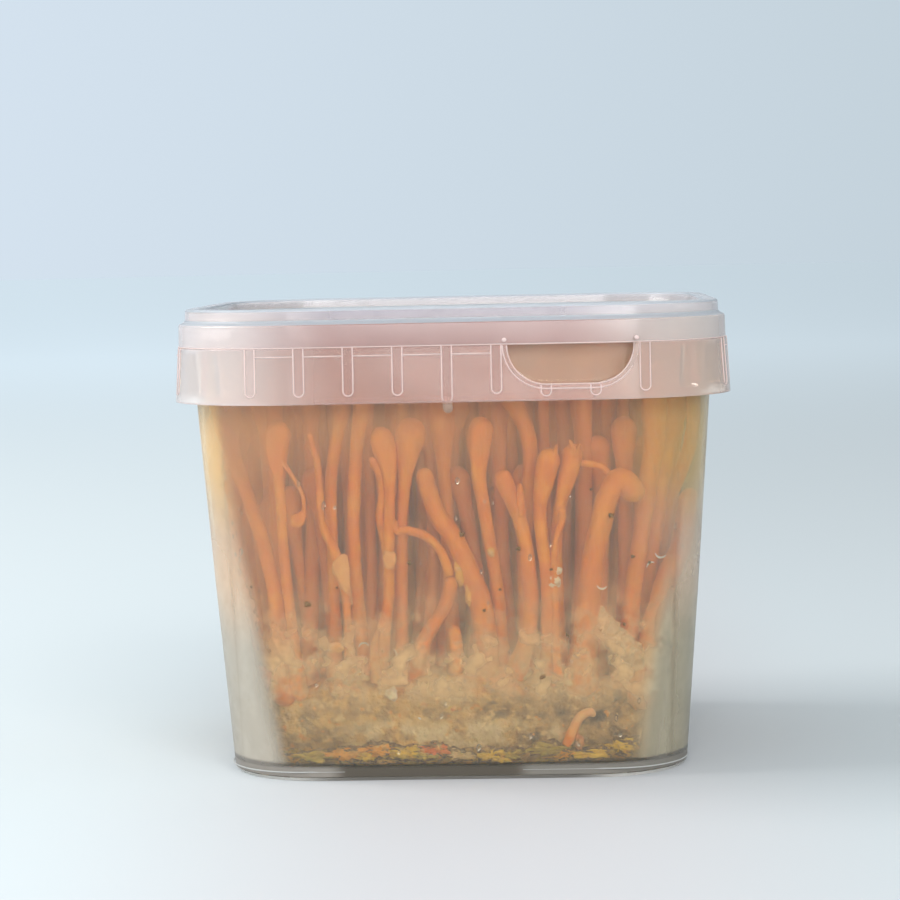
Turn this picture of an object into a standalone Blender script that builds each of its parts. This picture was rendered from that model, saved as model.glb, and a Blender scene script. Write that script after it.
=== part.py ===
"""Cordyceps fruiting bodies growing from a grain block inside a lidded square plastic tub.

Units are metres and +Z is up. The origin is on the surface that the tub stands on, under the
tub's centre, and -Y is the side that faces the viewer. Every wall of the tub is the same under
quarter turns, apart from the finger recess, which only the -Y side has.
"""
import math
import random

import bmesh
import bpy
import numpy as np
from mathutils import Matrix, Vector, noise
from mathutils.bvhtree import BVHTree

MM = 0.001

# Tub: half widths are from the centre to a flat side.
CORNER_STEPS = 6                 # facets on each rounded corner
WALL = 0.9 * MM                  # wall thickness
FOOT_HALF = 49.6 * MM            # outside of the wall just above the foot
FOOT_RISE = 0.8 * MM             # the floor is hollow underneath by this much
FLOOR_TOP = 2.0 * MM             # top face of the floor
BOW = 0.25 * MM                  # the long walls swell a little at mid height
MID_Z = 42.0 * MM
HEM_Z = 81.1 * MM                # lower edge of the collar
HEM_WALL_HALF = 55.6 * MM
SHELF_Z = 91.7 * MM              # underside of the shelf that joins collar and wall
SHELF_TOP = 92.9 * MM
SHELF_WALL_HALF = 56.3 * MM
COLLAR_TOP_HALF = 59.4 * MM
COLLAR_HEM_HALF = 60.1 * MM
RIM_TOP = 99.3 * MM
CORNER_AT_FOOT = 20.5 * MM       # plan radius of the wall's corners at the foot
CORNER_CENTRE = 32.8 * MM        # from the tub's centre to a corner's arc centre, collar and lid
CORNER_AT_SHELF = SHELF_WALL_HALF - CORNER_CENTRE

# Gussets between the collar and the wall.
RIB_WIDTH = 2.0 * MM
RIB_PITCH = 10.28 * MM
RIBS_EACH_WAY = 4
RIB_TOP = SHELF_Z + 0.5 * MM
RIB_BOTTOM = 82.8 * MM
CENTRE_RIB_BOTTOM = 78.7 * MM
BITE = 0.4 * MM                  # how far a gusset runs into the walls it joins

# Finger recess in the collar, centred between the second and third gusset.
RECESS_X = 2.5 * RIB_PITCH
RECESS_HALF = 13.2 * MM
RECESS_FLOOR = 84.5 * MM
RECESS_RADIUS = 8.2 * MM
RECESS_WEB = 1.0 * MM            # thickness of the web that edges the recess
RECESS_BACK = 56.85 * MM         # the recess is cut back to this distance from the centre

# Lid.
LID_GAP = 0.3 * MM               # the lid's skirt ends this far above the shelf
LID_TOP = 101.0 * MM
LID_HALF = 59.2 * MM
BEAD_HALF = 57.6 * MM
PANEL_TOP = 98.5 * MM
PANEL_UNDER = 97.7 * MM

# Grain block.
BLOCK_HALF = 46.0 * MM
BLOCK_SHIFT_X = 0.5 * MM
BLOCK_BOTTOM = 2.4 * MM
BLOCK_TOP = 21.0 * MM
BLOCK_CELLS = 9                  # cells across the block
BLOCK_ROUNDNESS = 0.42           # 0 is square in plan, 1 is round

# Fruiting bodies.
CLEAR = 0.4 * MM                 # air kept between neighbours
FRONT_RINGS = 9                  # most rings along a body of the front row
BACK_RINGS = 7                   # the same for the plainer rows behind it
CLUMP_RINGS = 5                  # and for the bodies that share a foot in the middle
CLUMP_SPREAD = 8.5 * MM          # how far a clump's side bodies stand from its first one
CLUMP_ROOT = 0.9 * MM            # the same between their feet, which are grown together
TIP_CROWDING = 1.45              # above 1, the rings stand closer together towards the tip
TIP_TAPER = 0.6                  # the last ring's radius, as a share of the route's
SETTLE_SAMPLES = 28              # points along each body while neighbours are eased apart
SETTLE_ROUNDS = 70
SETTLE_GAP = 0.75 * MM           # air between neighbours that the easing aims at
FOOT_Z = BLOCK_TOP + 1.5 * MM     # height of the feet before they stand on the block
FOOT_REACH = 45.0 * MM           # feet stand within this distance of the axis along X and Y
HIGHEST_TIP = PANEL_UNDER - 0.6 * MM

# The front row as it is seen from the front, in millimetres. Each point is
# (x, height, radius, distance behind the front wall), from the tip down to the foot.
FRONT_ROW = [
    # tall club against the left wall
    [(-50.6, 83, 1.6, 12), (-50.6, 79.5, 3.1, 12), (-49, 73, 2.0, 9), (-46.5, 67, 1.6, 6),
     (-43, 59, 1.5, 3), (-39.5, 48, 1.5, 1), (-37.5, 36, 1.6, 0), (-37.6, 24, 1.7, 0)],
    # small round head on a thin straight stalk
    [(-35.9, 77, 0.9, 0), (-36.1, 74.5, 1.8, 0), (-36.4, 70, 1.2, 0), (-36, 60, 1.1, 0),
     (-35.6, 47.5, 1.1, 0), (-35, 38, 1.1, 0), (-34, 24, 1.3, 0)],
    # thin reddish stalk with a swelling half way
    [(-29.5, 75, 0.7, 0), (-27.6, 66, 0.8, 0), (-27.8, 57.5, 0.8, 0), (-25.5, 51, 0.9, 0),
     (-24, 46.3, 1.5, 0), (-23, 41, 0.9, 0), (-22, 33, 0.9, 0), (-21, 23, 1.1, 0)],
    [(-22, 88, 1.2, 5), (-22.7, 81, 1.8, 5), (-24, 74, 1.4, 4), (-25.4, 66, 1.3, 4),
     (-25.8, 55, 1.3, 4), (-25.6, 40, 1.3, 4), (-25, 23, 1.4, 4)],
    [(-17.6, 91, 1.3, 4), (-18.2, 83, 1.9, 3), (-19.6, 73, 1.5, 3), (-20.8, 60, 1.4, 3),
     (-21, 45, 1.4, 3), (-20.5, 24, 1.4, 4)],
    # knobbed head whose stalk sweeps back to the left
    [(-14.4, 75.4, 1.1, 0), (-14.3, 73.2, 2.1, 0), (-12.9, 67.5, 1.3, 0), (-12.9, 60, 1.2, 0),
     (-13.5, 48, 1.2, 0), (-14, 36, 1.2, 0), (-16.6, 29, 1.3, 0), (-18, 23, 1.4, 0)],
    # ball head
    [(-8, 77.2, 1.5, 0), (-8.4, 73.6, 2.8, 0), (-9.4, 67, 1.5, 0.5), (-10.4, 58, 1.3, 1.5),
     (-11, 46, 1.3, 3), (-11, 23, 1.4, 4)],
    # thick stalk leaning to the right
    [(-6, 66.8, 1.0, 0), (-5.2, 64, 1.7, 0), (-3.6, 58.5, 1.9, 0), (-1.2, 54, 2.0, 0),
     (1.6, 49.5, 2.2, 0), (4.6, 41.5, 2.3, 0), (6.6, 35, 2.3, 0), (6.8, 23, 2.5, 0)],
    [(-2.2, 82, 1.4, 9), (-1.8, 77, 2.6, 8), (-1.9, 69, 1.5, 8), (-1.4, 58, 1.5, 8),
     (-1, 40, 1.5, 8), (0, 23, 1.6, 8)],
    # flat-topped head
    [(7, 77.4, 1.7, 0), (6.6, 75.2, 2.2, 0), (6.1, 70, 1.6, 0), (6, 64.5, 1.5, 0),
     (6.9, 58, 1.4, 0.5), (8.3, 48, 1.4, 1), (9.2, 38, 1.4, 3), (9.5, 23, 1.5, 6)],
    [(10.5, 85, 1.2, 7), (13.2, 80, 1.8, 6), (16.4, 74, 1.7, 5), (16.6, 66, 1.6, 5),
     (15.6, 54, 1.5, 6), (15, 40, 1.5, 6), (15, 23, 1.6, 7)],
    # forked tip
    [(10.9, 66.2, 1.0, 0), (11.6, 63, 1.7, 0), (13.4, 58.5, 1.6, 0), (15.4, 52, 1.5, 0),
     (16.4, 45, 1.6, 0), (16.7, 37, 1.6, 0), (15.4, 29.5, 1.7, 0), (13, 23, 1.9, 0)],
    # slanted spiky head
    [(21.6, 70, 0.9, 0), (20.4, 67.2, 2.2, 0), (19.8, 64, 1.7, 0), (18.6, 58.5, 1.4, 0),
     (18.8, 51, 1.4, 0), (19.5, 42, 1.3, 0), (19.8, 31, 1.4, 0), (20.2, 22, 1.5, 0)],
    # head with a thin spike
    [(25.9, 71, 0.6, 1.5), (25.6, 67.8, 2.0, 1.5), (24.3, 63.4, 1.6, 1.5), (22.8, 58, 1.3, 2.5),
     (21.9, 48, 1.3, 4), (22.5, 23, 1.4, 6)],
    # thick body with a bent head
    [(39.4, 59, 1.4, 0), (37.4, 62.2, 2.6, 0), (35.2, 63.6, 2.3, 0), (33, 60.2, 2.3, 0),
     (31.3, 53.5, 2.4, 0), (29.5, 46, 2.4, 0), (28.4, 36, 2.5, 0), (26, 24, 2.6, 0)],
    [(43.8, 88, 1.6, 5), (43.3, 80, 2.4, 5), (43, 70, 2.2, 5), (41.6, 62, 2.0, 5),
     (39.6, 49, 1.9, 5), (38, 36, 1.9, 5), (37, 23, 2.0, 5)],
    [(49.6, 84, 1.6, 9), (48.8, 78, 2.4, 9), (47.4, 68, 2.1, 8), (45.2, 58, 2.0, 6),
     (42.6, 48, 2.0, 8), (41.2, 36, 2.0, 9), (41, 23, 2.1, 10)],
    # thick body leaning into the right corner
    [(49.6, 60, 1.2, 5), (48.8, 54, 2.0, 4), (47.4, 47, 2.2, 2), (45.4, 42, 2.3, 0),
     (43.4, 35, 2.4, 0), (41.6, 29, 2.5, 0), (40.2, 22, 2.5, 0)],
    # short stalk leaning to the right
    [(-0.3, 43.6, 0.9, 0), (-1, 39.5, 1.3, 0), (-2.6, 36, 1.4, 0), (-5, 32.5, 1.5, 0),
     (-7.2, 28.5, 1.6, 0), (-9, 23, 1.7, 0)],
    # young cream stalk
    [(-0.2, 33.2, 0.7, 0), (0.1, 30, 1.2, 0), (0.3, 26.5, 1.3, 0), (0, 21, 1.5, 0)],
]

# The rows behind it: (turn in degrees, x of the first foot, spacing, count, distance behind the
# wall, seed). Each row is laid out as if its wall were the front one, then turned.
BACK_ROWS = [
    (0, -39.0, 11.0, 8, 10.0, 21),
    (90, -35.0, 11.0, 7, 1.0, 3),
    (180, -34.0, 9.7, 8, 1.0, 8),
    (270, -31.0, 11.0, 7, 1.0, 5),
]

# In the middle, each body carries side bodies that grow from the same foot. The last values
# are the turns of these in degrees.
CLUMP_ROWS = [
    ((0, -26.0, 25.0, 3, 35.0, 11), (20, 140, 260)),
    ((180, -24.0, 24.0, 3, 35.0, 13), (75, 190, 310)),
]


# ---------------------------------------------------------------- general helpers

def clear_scene():
    for obj in list(bpy.data.objects):
        bpy.data.objects.remove(obj, do_unlink=True)


def make_collection(name):
    collection = bpy.data.collections.new(name)
    bpy.context.scene.collection.children.link(collection)
    return collection


def make_material(name, colour, roughness, alpha=1.0):
    material = bpy.data.materials.new(name)
    material.use_nodes = True
    shader = material.node_tree.nodes["Principled BSDF"]
    shader.inputs["Base Color"].default_value = (*colour, 1.0)
    shader.inputs["Roughness"].default_value = roughness
    shader.inputs["Metallic"].default_value = 0.0
    shader.inputs["Alpha"].default_value = alpha
    material.diffuse_color = (*colour, alpha)
    return material


def object_from_bmesh(name, bm, collection, material=None):
    mesh = bpy.data.meshes.new(name)
    bm.to_mesh(mesh)
    bm.free()
    obj = bpy.data.objects.new(name, mesh)
    collection.objects.link(obj)
    if material:
        mesh.materials.append(material)
    return obj


def smooth_round_faces(obj, angle=40):
    obj.data.shade_smooth()
    obj.data.set_sharp_from_angle(angle=math.radians(angle))


def between(value, low, high, at_low, at_high):
    """Straight-line value between two known ones, also past their ends."""
    return at_low + (at_high - at_low) * (value - low) / (high - low)


# ---------------------------------------------------------------- shapes of the walls

def wall_half(z):
    """Outer half width of the tub's wall at a height."""
    middle = (FOOT_HALF + HEM_WALL_HALF) / 2 + BOW
    if z < MID_Z:
        return between(z, 0, MID_Z, FOOT_HALF, middle)
    if z < HEM_Z:
        return between(z, MID_Z, HEM_Z, middle, HEM_WALL_HALF)
    return min(between(z, HEM_Z, SHELF_Z, HEM_WALL_HALF, SHELF_WALL_HALF), SHELF_WALL_HALF)


def wall_corner(z):
    """Outer plan radius of the wall's corners at a height."""
    return between(min(z, SHELF_Z), 0, SHELF_Z, CORNER_AT_FOOT, CORNER_AT_SHELF)


def collar_half(z):
    """Outer half width of the collar at a height, at most that of its hem."""
    return between(max(z, HEM_Z), HEM_Z, SHELF_TOP, COLLAR_HEM_HALF, COLLAR_TOP_HALF)


def face_distance(x, half, radius):
    """Distance from the centre, along -Y, to a rounded square's outline at this x."""
    past = abs(x) - (half - radius)
    if past <= 0:
        return half
    return half - radius + math.sqrt(max(radius ** 2 - past ** 2, 0))


def rounded_square(half, radius, z):
    """Points of a square with rounded corners, anticlockwise seen from above."""
    points = []
    centre = half - radius
    for quarter in range(4):
        start = math.radians(90 * quarter)
        sign_x = 1 if quarter in (0, 3) else -1
        sign_y = 1 if quarter in (0, 1) else -1
        for step in range(CORNER_STEPS + 1):
            angle = start + math.radians(90) * step / CORNER_STEPS
            points.append((sign_x * centre + radius * math.cos(angle),
                           sign_y * centre + radius * math.sin(angle), z))
    return points


def with_corners(section):
    """Give (half width, height) stations the corner radius that keeps the arcs' centre."""
    return [(half, half - CORNER_CENTRE, z) for half, z in section]


def loft(name, profile, collection, material):
    """Skin a profile of (half width, corner radius, height) stations around the tub's axis.

    A flat face shuts each end of the profile.
    """
    bm = bmesh.new()
    rings = [[bm.verts.new(p) for p in rounded_square(*station)] for station in profile]
    for low, high in zip(rings, rings[1:]):
        count = len(low)
        for i in range(count):
            j = (i + 1) % count
            bm.faces.new((low[i], low[j], high[j], high[i]))
    bm.faces.new(list(reversed(rings[0])))
    bm.faces.new(rings[-1])
    bmesh.ops.recalc_face_normals(bm, faces=bm.faces)
    return object_from_bmesh(name, bm, collection, material)


# ---------------------------------------------------------------- tub

def tub_profile():
    """Section of the tub from under its floor, up the outside and down the inside."""
    r = wall_corner
    heel = FLOOR_TOP + 1.4 * MM
    wall = [
        (FOOT_HALF - 3.2 * MM, r(0) - 3.2 * MM, FOOT_RISE),
        (FOOT_HALF - 2.8 * MM, r(0) - 2.8 * MM, 0),
        (FOOT_HALF - 0.6 * MM, r(0) - 0.6 * MM, 0),
        (wall_half(0.7 * MM), r(0), 0.7 * MM),
        (wall_half(MID_Z), r(MID_Z), MID_Z),
        (wall_half(HEM_Z), r(HEM_Z), HEM_Z),
    ]
    collar_and_rim = with_corners([
        (SHELF_WALL_HALF, SHELF_Z),
        (COLLAR_TOP_HALF - WALL, SHELF_Z),
        (COLLAR_HEM_HALF - WALL, HEM_Z),
        (COLLAR_HEM_HALF, HEM_Z),
        (COLLAR_TOP_HALF, SHELF_TOP - 0.3 * MM),
        (COLLAR_TOP_HALF - 0.3 * MM, SHELF_TOP),
        (SHELF_WALL_HALF + 0.2 * MM, SHELF_TOP),
        (SHELF_WALL_HALF, RIM_TOP),
        (SHELF_WALL_HALF - WALL, RIM_TOP),
        (SHELF_WALL_HALF - WALL, SHELF_Z),
    ])
    inside = [
        (wall_half(HEM_Z) - WALL, r(HEM_Z) - WALL, HEM_Z),
        (wall_half(MID_Z) - WALL, r(MID_Z) - WALL, MID_Z),
        (wall_half(heel) - WALL, r(heel) - WALL, heel),
        (FOOT_HALF - WALL - 1.4 * MM, r(0) - WALL - 1.4 * MM, FLOOR_TOP),
    ]
    return wall + collar_and_rim + inside


def stadium_end(x, width, top, bottom, steps=3):
    """Outline in the XZ plane of an upright bar with a round lower end."""
    radius = width / 2
    outline = [(x + radius, top), (x - radius, top)]
    if bottom < HEM_Z:
        outline.append((x - radius, HEM_Z + 0.1 * MM))
    for step in range(steps + 1):
        angle = math.pi + math.pi * step / steps
        outline.append((x + radius * math.cos(angle), bottom + radius + radius * math.sin(angle)))
    if bottom < HEM_Z:
        outline.append((x + radius, HEM_Z + 0.1 * MM))
    return outline


def recess_outline(grow, top, steps=6):
    """Outline in the XZ plane of the finger recess, grown by a distance."""
    half = RECESS_HALF + grow
    radius = RECESS_RADIUS + grow
    floor = RECESS_FLOOR - grow
    outline = [(RECESS_X + half, top), (RECESS_X - half, top)]
    for side, start in ((-1, 180), (1, 270)):
        for step in range(steps + 1):
            angle = math.radians(start + 90 * step / steps)
            outline.append((RECESS_X + side * (half - radius) + radius * math.cos(angle),
                            floor + radius + radius * math.sin(angle)))
    return outline


def add_prism(bm, outline, back, front, turn=0.0):
    """Extrude an XZ outline between two distances in front of the centre, then turn it.

    back and front give the distance from the centre for a height.
    """
    face = bm.faces.new([bm.verts.new((x, -back(z), z)) for x, z in outline])
    grown = bmesh.ops.extrude_face_region(bm, geom=[face])["geom"]
    verts = [item for item in grown if isinstance(item, bmesh.types.BMVert)]
    for vert in verts:
        vert.co.y = -front(vert.co.z)
    bmesh.ops.rotate(bm, verts=list(face.verts) + verts, cent=(0, 0, 0),
                     matrix=Matrix.Rotation(turn, 3, "Z"))


def finish_tool(name, bm, cutters):
    """Close a tool with flat triangles, because its front and back may be bent."""
    bmesh.ops.recalc_face_normals(bm, faces=bm.faces)
    bmesh.ops.triangulate(bm, faces=bm.faces)
    return object_from_bmesh(name, bm, cutters)


def gusset_back(z, x, diagonal):
    """Distance from the centre of a gusset's back, a little way into the tub's wall."""
    half, corner = wall_half(z), wall_corner(z)
    if diagonal:
        return half + (math.sqrt(2) - 1) * (half - corner) - BITE
    return face_distance(x, half, corner) - BITE


def gusset_front(z, x, diagonal):
    """Distance from the centre of a gusset's front, a little way into the collar."""
    half = collar_half(z) - WALL
    if diagonal:
        return half + (math.sqrt(2) - 1) * CORNER_CENTRE + BITE
    reach = face_distance(x, half, half - CORNER_CENTRE) + BITE
    if z < HEM_Z:
        reach = between(z, CENTRE_RIB_BOTTOM, HEM_Z, wall_half(z) + 1.2 * MM, reach)
    return reach


def add_gusset(bm, x, top, bottom, turn, diagonal=False):
    add_prism(bm, stadium_end(x, RIB_WIDTH, top, bottom),
              lambda z: gusset_back(z, x, diagonal), lambda z: gusset_front(z, x, diagonal), turn)


def build_ribs(cutters):
    """All gussets in one object: they stand apart, so one union joins them to the tub."""
    bm = bmesh.new()
    for side in range(4):
        turn = math.radians(90 * side)
        for index in range(-RIBS_EACH_WAY, RIBS_EACH_WAY + 1):
            top = RIB_TOP
            bottom = CENTRE_RIB_BOTTOM if index == 0 else RIB_BOTTOM
            if side == 0 and index in (2, 3):
                top = RECESS_FLOOR - RECESS_WEB / 2
                bottom = RIB_BOTTOM - 0.7 * MM
            add_gusset(bm, index * RIB_PITCH, top, bottom, turn)
        add_gusset(bm, 0, RIB_TOP, RIB_BOTTOM, turn + math.radians(45), diagonal=True)
    return finish_tool("rib_tool", bm, cutters)


def build_recess_tools(cutters):
    """The solid that edges the finger recess, and the cutter that opens it."""
    tools = []
    for name, grow, top, back, front in (
            ("recess_web_tool", RECESS_WEB, SHELF_TOP - 0.2 * MM,
             lambda z: wall_half(z) - BITE, lambda z: collar_half(z) - WALL + BITE),
            ("recess_cutter", 0.0, SHELF_TOP + 2 * MM,
             lambda z: RECESS_BACK, lambda z: COLLAR_HEM_HALF + 3 * MM)):
        bm = bmesh.new()
        add_prism(bm, recess_outline(grow, top), back, front)
        tools.append(finish_tool(name, bm, cutters))
    return tools


def add_boolean(obj, tool, operation):
    modifier = obj.modifiers.new(tool.name, "BOOLEAN")
    modifier.operation = operation
    modifier.solver = "EXACT"
    modifier.object = tool
    tool.hide_render = True
    tool.display_type = "WIRE"


def build_tub(collection, cutters, material):
    tub = loft("tub", tub_profile(), collection, material)
    web, cutter = build_recess_tools(cutters)
    add_boolean(tub, build_ribs(cutters), "UNION")
    add_boolean(tub, web, "UNION")
    add_boolean(tub, cutter, "DIFFERENCE")
    smooth_round_faces(tub)
    return tub


# ---------------------------------------------------------------- lid

def lid_profile():
    """Section of the lid from the middle of its panel, over the bead and back underneath."""
    bottom = SHELF_TOP + LID_GAP
    return with_corners([
        (53.6 * MM, PANEL_TOP),
        (54.3 * MM, PANEL_TOP + 0.4 * MM),
        (54.5 * MM, LID_TOP - 0.4 * MM),
        (54.9 * MM, LID_TOP),
        (BEAD_HALF - 0.5 * MM, LID_TOP),
        (BEAD_HALF, LID_TOP - 0.5 * MM),
        (BEAD_HALF + 0.1 * MM, PANEL_TOP + 0.1 * MM),
        (BEAD_HALF + 0.4 * MM, PANEL_TOP - 0.4 * MM),
        (LID_HALF - 0.3 * MM, PANEL_UNDER),
        (LID_HALF - 0.1 * MM, PANEL_UNDER - 0.4 * MM),
        (LID_HALF, bottom),
        (LID_HALF - WALL, bottom),
        (LID_HALF - WALL - 0.1 * MM, PANEL_UNDER - 0.9 * MM),
        (56.85 * MM, PANEL_UNDER + 0.3 * MM),
        (56.75 * MM, LID_TOP - 0.9 * MM),
        (55.15 * MM, LID_TOP - 0.9 * MM),
        (55.0 * MM, PANEL_UNDER + 0.5 * MM),
        (54.2 * MM, PANEL_UNDER),
    ])


def build_lid(collection, material):
    lid = loft("lid", lid_profile(), collection, material)
    smooth_round_faces(lid)
    return lid


# ---------------------------------------------------------------- grain block

def block_plan(u, v):
    """Map a square of side 2 to the block's rounded outline."""
    round_u = u * math.sqrt(1 - v * v / 2)
    round_v = v * math.sqrt(1 - u * u / 2)
    blend = BLOCK_ROUNDNESS
    return u * (1 - blend) + round_u * blend, v * (1 - blend) + round_v * blend


def lumps(x, y, z, size, seed):
    """Smooth noise between -1 and 1 whose swells are about this size."""
    return noise.noise(Vector((x / size + seed, y / size - seed, z / size + 0.5 * seed)))


def build_block(collection, material):
    bm = bmesh.new()
    bmesh.ops.create_grid(bm, x_segments=BLOCK_CELLS, y_segments=BLOCK_CELLS, size=1.0)
    grown = bmesh.ops.extrude_face_region(bm, geom=list(bm.faces))["geom"]
    bmesh.ops.translate(bm, vec=(0, 0, 1), verts=[g for g in grown if isinstance(g, bmesh.types.BMVert)])
    upright = [e for e in bm.edges if abs(e.verts[0].co.z - e.verts[1].co.z) > 0.5]
    bmesh.ops.subdivide_edges(bm, edges=upright, cuts=2)
    bmesh.ops.recalc_face_normals(bm, faces=bm.faces)
    for vert in bm.verts:
        u, v, w = vert.co
        plan_u, plan_v = block_plan(u, v)
        edge = max(abs(u), abs(v))
        x = plan_u * BLOCK_HALF
        y = plan_v * BLOCK_HALF
        z = between(w, 0, 1, BLOCK_BOTTOM, BLOCK_TOP)
        waist = 1 + 0.035 * w - 0.05 * (w < 0.01) * edge ** 4
        bulge = 3.2 * MM * lumps(x, y, z, 8 * MM, 4.0) * edge ** 3
        grow = waist + bulge / BLOCK_HALF
        top = w ** 2 * (3.4 * MM * lumps(x, y, 0, 11 * MM, 9.0) - 1.8 * MM * edge ** 8)
        vert.co = (x * grow + BLOCK_SHIFT_X, y * grow, z + top)
    block = object_from_bmesh("substrate", bm, collection, material)
    smooth_round_faces(block, 60)
    return block


# ---------------------------------------------------------------- fruiting bodies

def inner_limit(z, radius):
    """Half width and corner radius of the room left for a round thing at a height."""
    inset = WALL + radius + CLEAR
    return wall_half(z) - inset, wall_corner(z) - inset


def front_limit(x, z, radius):
    """Largest distance in front of the centre that a round thing can have at this x."""
    return face_distance(x, *inner_limit(z, radius))


def resample(points, count):
    """Read a smooth curve through the route points at stations that crowd towards the tip."""
    route = np.array(points)
    ends = np.vstack([2 * route[0] - route[1], route, 2 * route[-1] - route[-2]])
    dense = []
    for i in range(1, len(ends) - 2):
        p0, p1, p2, p3 = ends[i - 1:i + 3]
        for t in np.linspace(0, 1, 12, endpoint=False):
            dense.append(0.5 * (2 * p1 + (p2 - p0) * t + (2 * p0 - 5 * p1 + 4 * p2 - p3) * t ** 2
                                + (3 * p1 - p0 - 3 * p2 + p3) * t ** 3))
    dense = np.array(dense + [ends[-2]])
    steps = np.linalg.norm(np.diff(dense[:, :3], axis=0), axis=1)
    length = np.concatenate([[0], np.cumsum(steps)])
    wanted = length[-1] * np.linspace(0, 1, count) ** TIP_CROWDING
    stations = np.array([[np.interp(w, length, dense[:, k]) for k in range(4)] for w in wanted])
    stations[0, 3] *= TIP_TAPER
    return stations


def front_row():
    bodies = []
    for row in FRONT_ROW:
        points = []
        for x, z, radius, behind in row:
            x, z, radius, behind = x * MM, z * MM, radius * MM, behind * MM
            half = inner_limit(z, radius)[0]
            x = max(-half, min(half, x))
            points.append((x, -(front_limit(x, z, radius) - behind), z, radius))
        bodies.append(resample(points, min(FRONT_RINGS, len(row) + 2)))
    return bodies


def grown_row(rings, turn_degrees, first, spacing, count, behind, seed):
    """One row of plain clubs that lean out with their wall, some taller than others."""
    dice = random.Random(seed)
    turn = math.radians(turn_degrees)
    bodies = []
    for index in range(count):
        foot = (first + spacing * index + dice.uniform(-1.5, 1.5)) * MM
        lean = dice.uniform(-6, 6) * MM
        sway = dice.uniform(-2.2, 2.2) * MM
        height = dice.choice((66, 76, 86, 93, 96)) * MM
        stalk = dice.uniform(1.2, 1.7) * MM
        head = stalk * dice.uniform(1.35, 1.8)
        set_back = (behind + dice.uniform(0, 3)) * MM
        points = []
        for part, width in ((1.0, 0.5 * head), (0.95, head), (0.86, 0.85 * head), (0.76, stalk),
                            (0.5, stalk), (0.25, 1.05 * stalk), (0.0, 1.2 * stalk)):
            z = between(part, 0, 1, FOOT_Z, height)
            x = foot + lean * part ** 1.5 + sway * math.sin(math.pi * part)
            half = inner_limit(z, width)[0]
            x = max(-half, min(half, x))
            y = -(front_limit(x, z, width) - set_back)
            points.append((x * math.cos(turn) - y * math.sin(turn),
                           x * math.sin(turn) + y * math.cos(turn), z, width))
        bodies.append(resample(points, rings))
    return bodies


def grown_clumps(row, turns):
    """A row of clumps. Each is a list of bodies that fan out from the first one's foot."""
    dice = random.Random(row[-1])
    clumps = []
    for first in grown_row(CLUMP_RINGS, *row):
        clump = [first]
        for turn in turns:
            angle = math.radians(turn + dice.uniform(-15, 15))
            tip = between(dice.choice((0.55, 0.75, 0.9)), 0, 1, FOOT_Z, HIGHEST_TIP)
            side = first.copy()
            part = (first[:, 2] - FOOT_Z) / (first[0, 2] - FOOT_Z)
            reach = CLUMP_ROOT + (CLUMP_SPREAD - CLUMP_ROOT) * np.clip(part, 0, 1) ** 0.7
            side[:, 0] += reach * math.cos(angle)
            side[:, 1] += reach * math.sin(angle)
            side[:, 2] = between(part, 0, 1, FOOT_Z, tip)
            side[:, 3] *= dice.uniform(0.85, 1.0)
            clump.append(side)
        clumps.append(clump)
    return clumps


def gather_feet(clump):
    """Bring the feet of a clump's side bodies back to its first one's."""
    root = clump[0][-1, :2]
    for side in clump[1:]:
        away = side[-2, :2] - root
        side[-1, :2] = root + away * CLUMP_ROOT / np.linalg.norm(away)


def keep_inside(place, radius):
    """Move a point straight towards the axis until it is inside the tub's rounded wall."""
    half, corner = inner_limit(place[2], radius)
    x, y = place[0], place[1]
    x = max(-half, min(half, x))
    y = max(-half, min(half, y))
    centre = half - corner
    over_x, over_y = abs(x) - centre, abs(y) - centre
    if over_x > 0 and over_y > 0:
        distance = math.hypot(over_x, over_y)
        if distance > corner:
            x = math.copysign(centre + over_x * corner / distance, x)
            y = math.copysign(centre + over_y * corner / distance, y)
    place[0], place[1] = x, y
    place[2] = min(place[2], HIGHEST_TIP - radius * 0.3)


def plant_foot(body):
    """Bring a body's foot over the block, at about the height of its top."""
    body[-1, :2] = np.clip(body[-1, :2], -FOOT_REACH, FOOT_REACH)
    body[-1, 2] = FOOT_Z


def sample_weights(rings):
    """How much each of a body's rings counts at each sample along it."""
    stations = np.linspace(0, 1, rings)
    samples = np.linspace(0, 1, SETTLE_SAMPLES)
    return np.array([np.interp(samples, stations, row) for row in np.eye(rings)]).T


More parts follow.
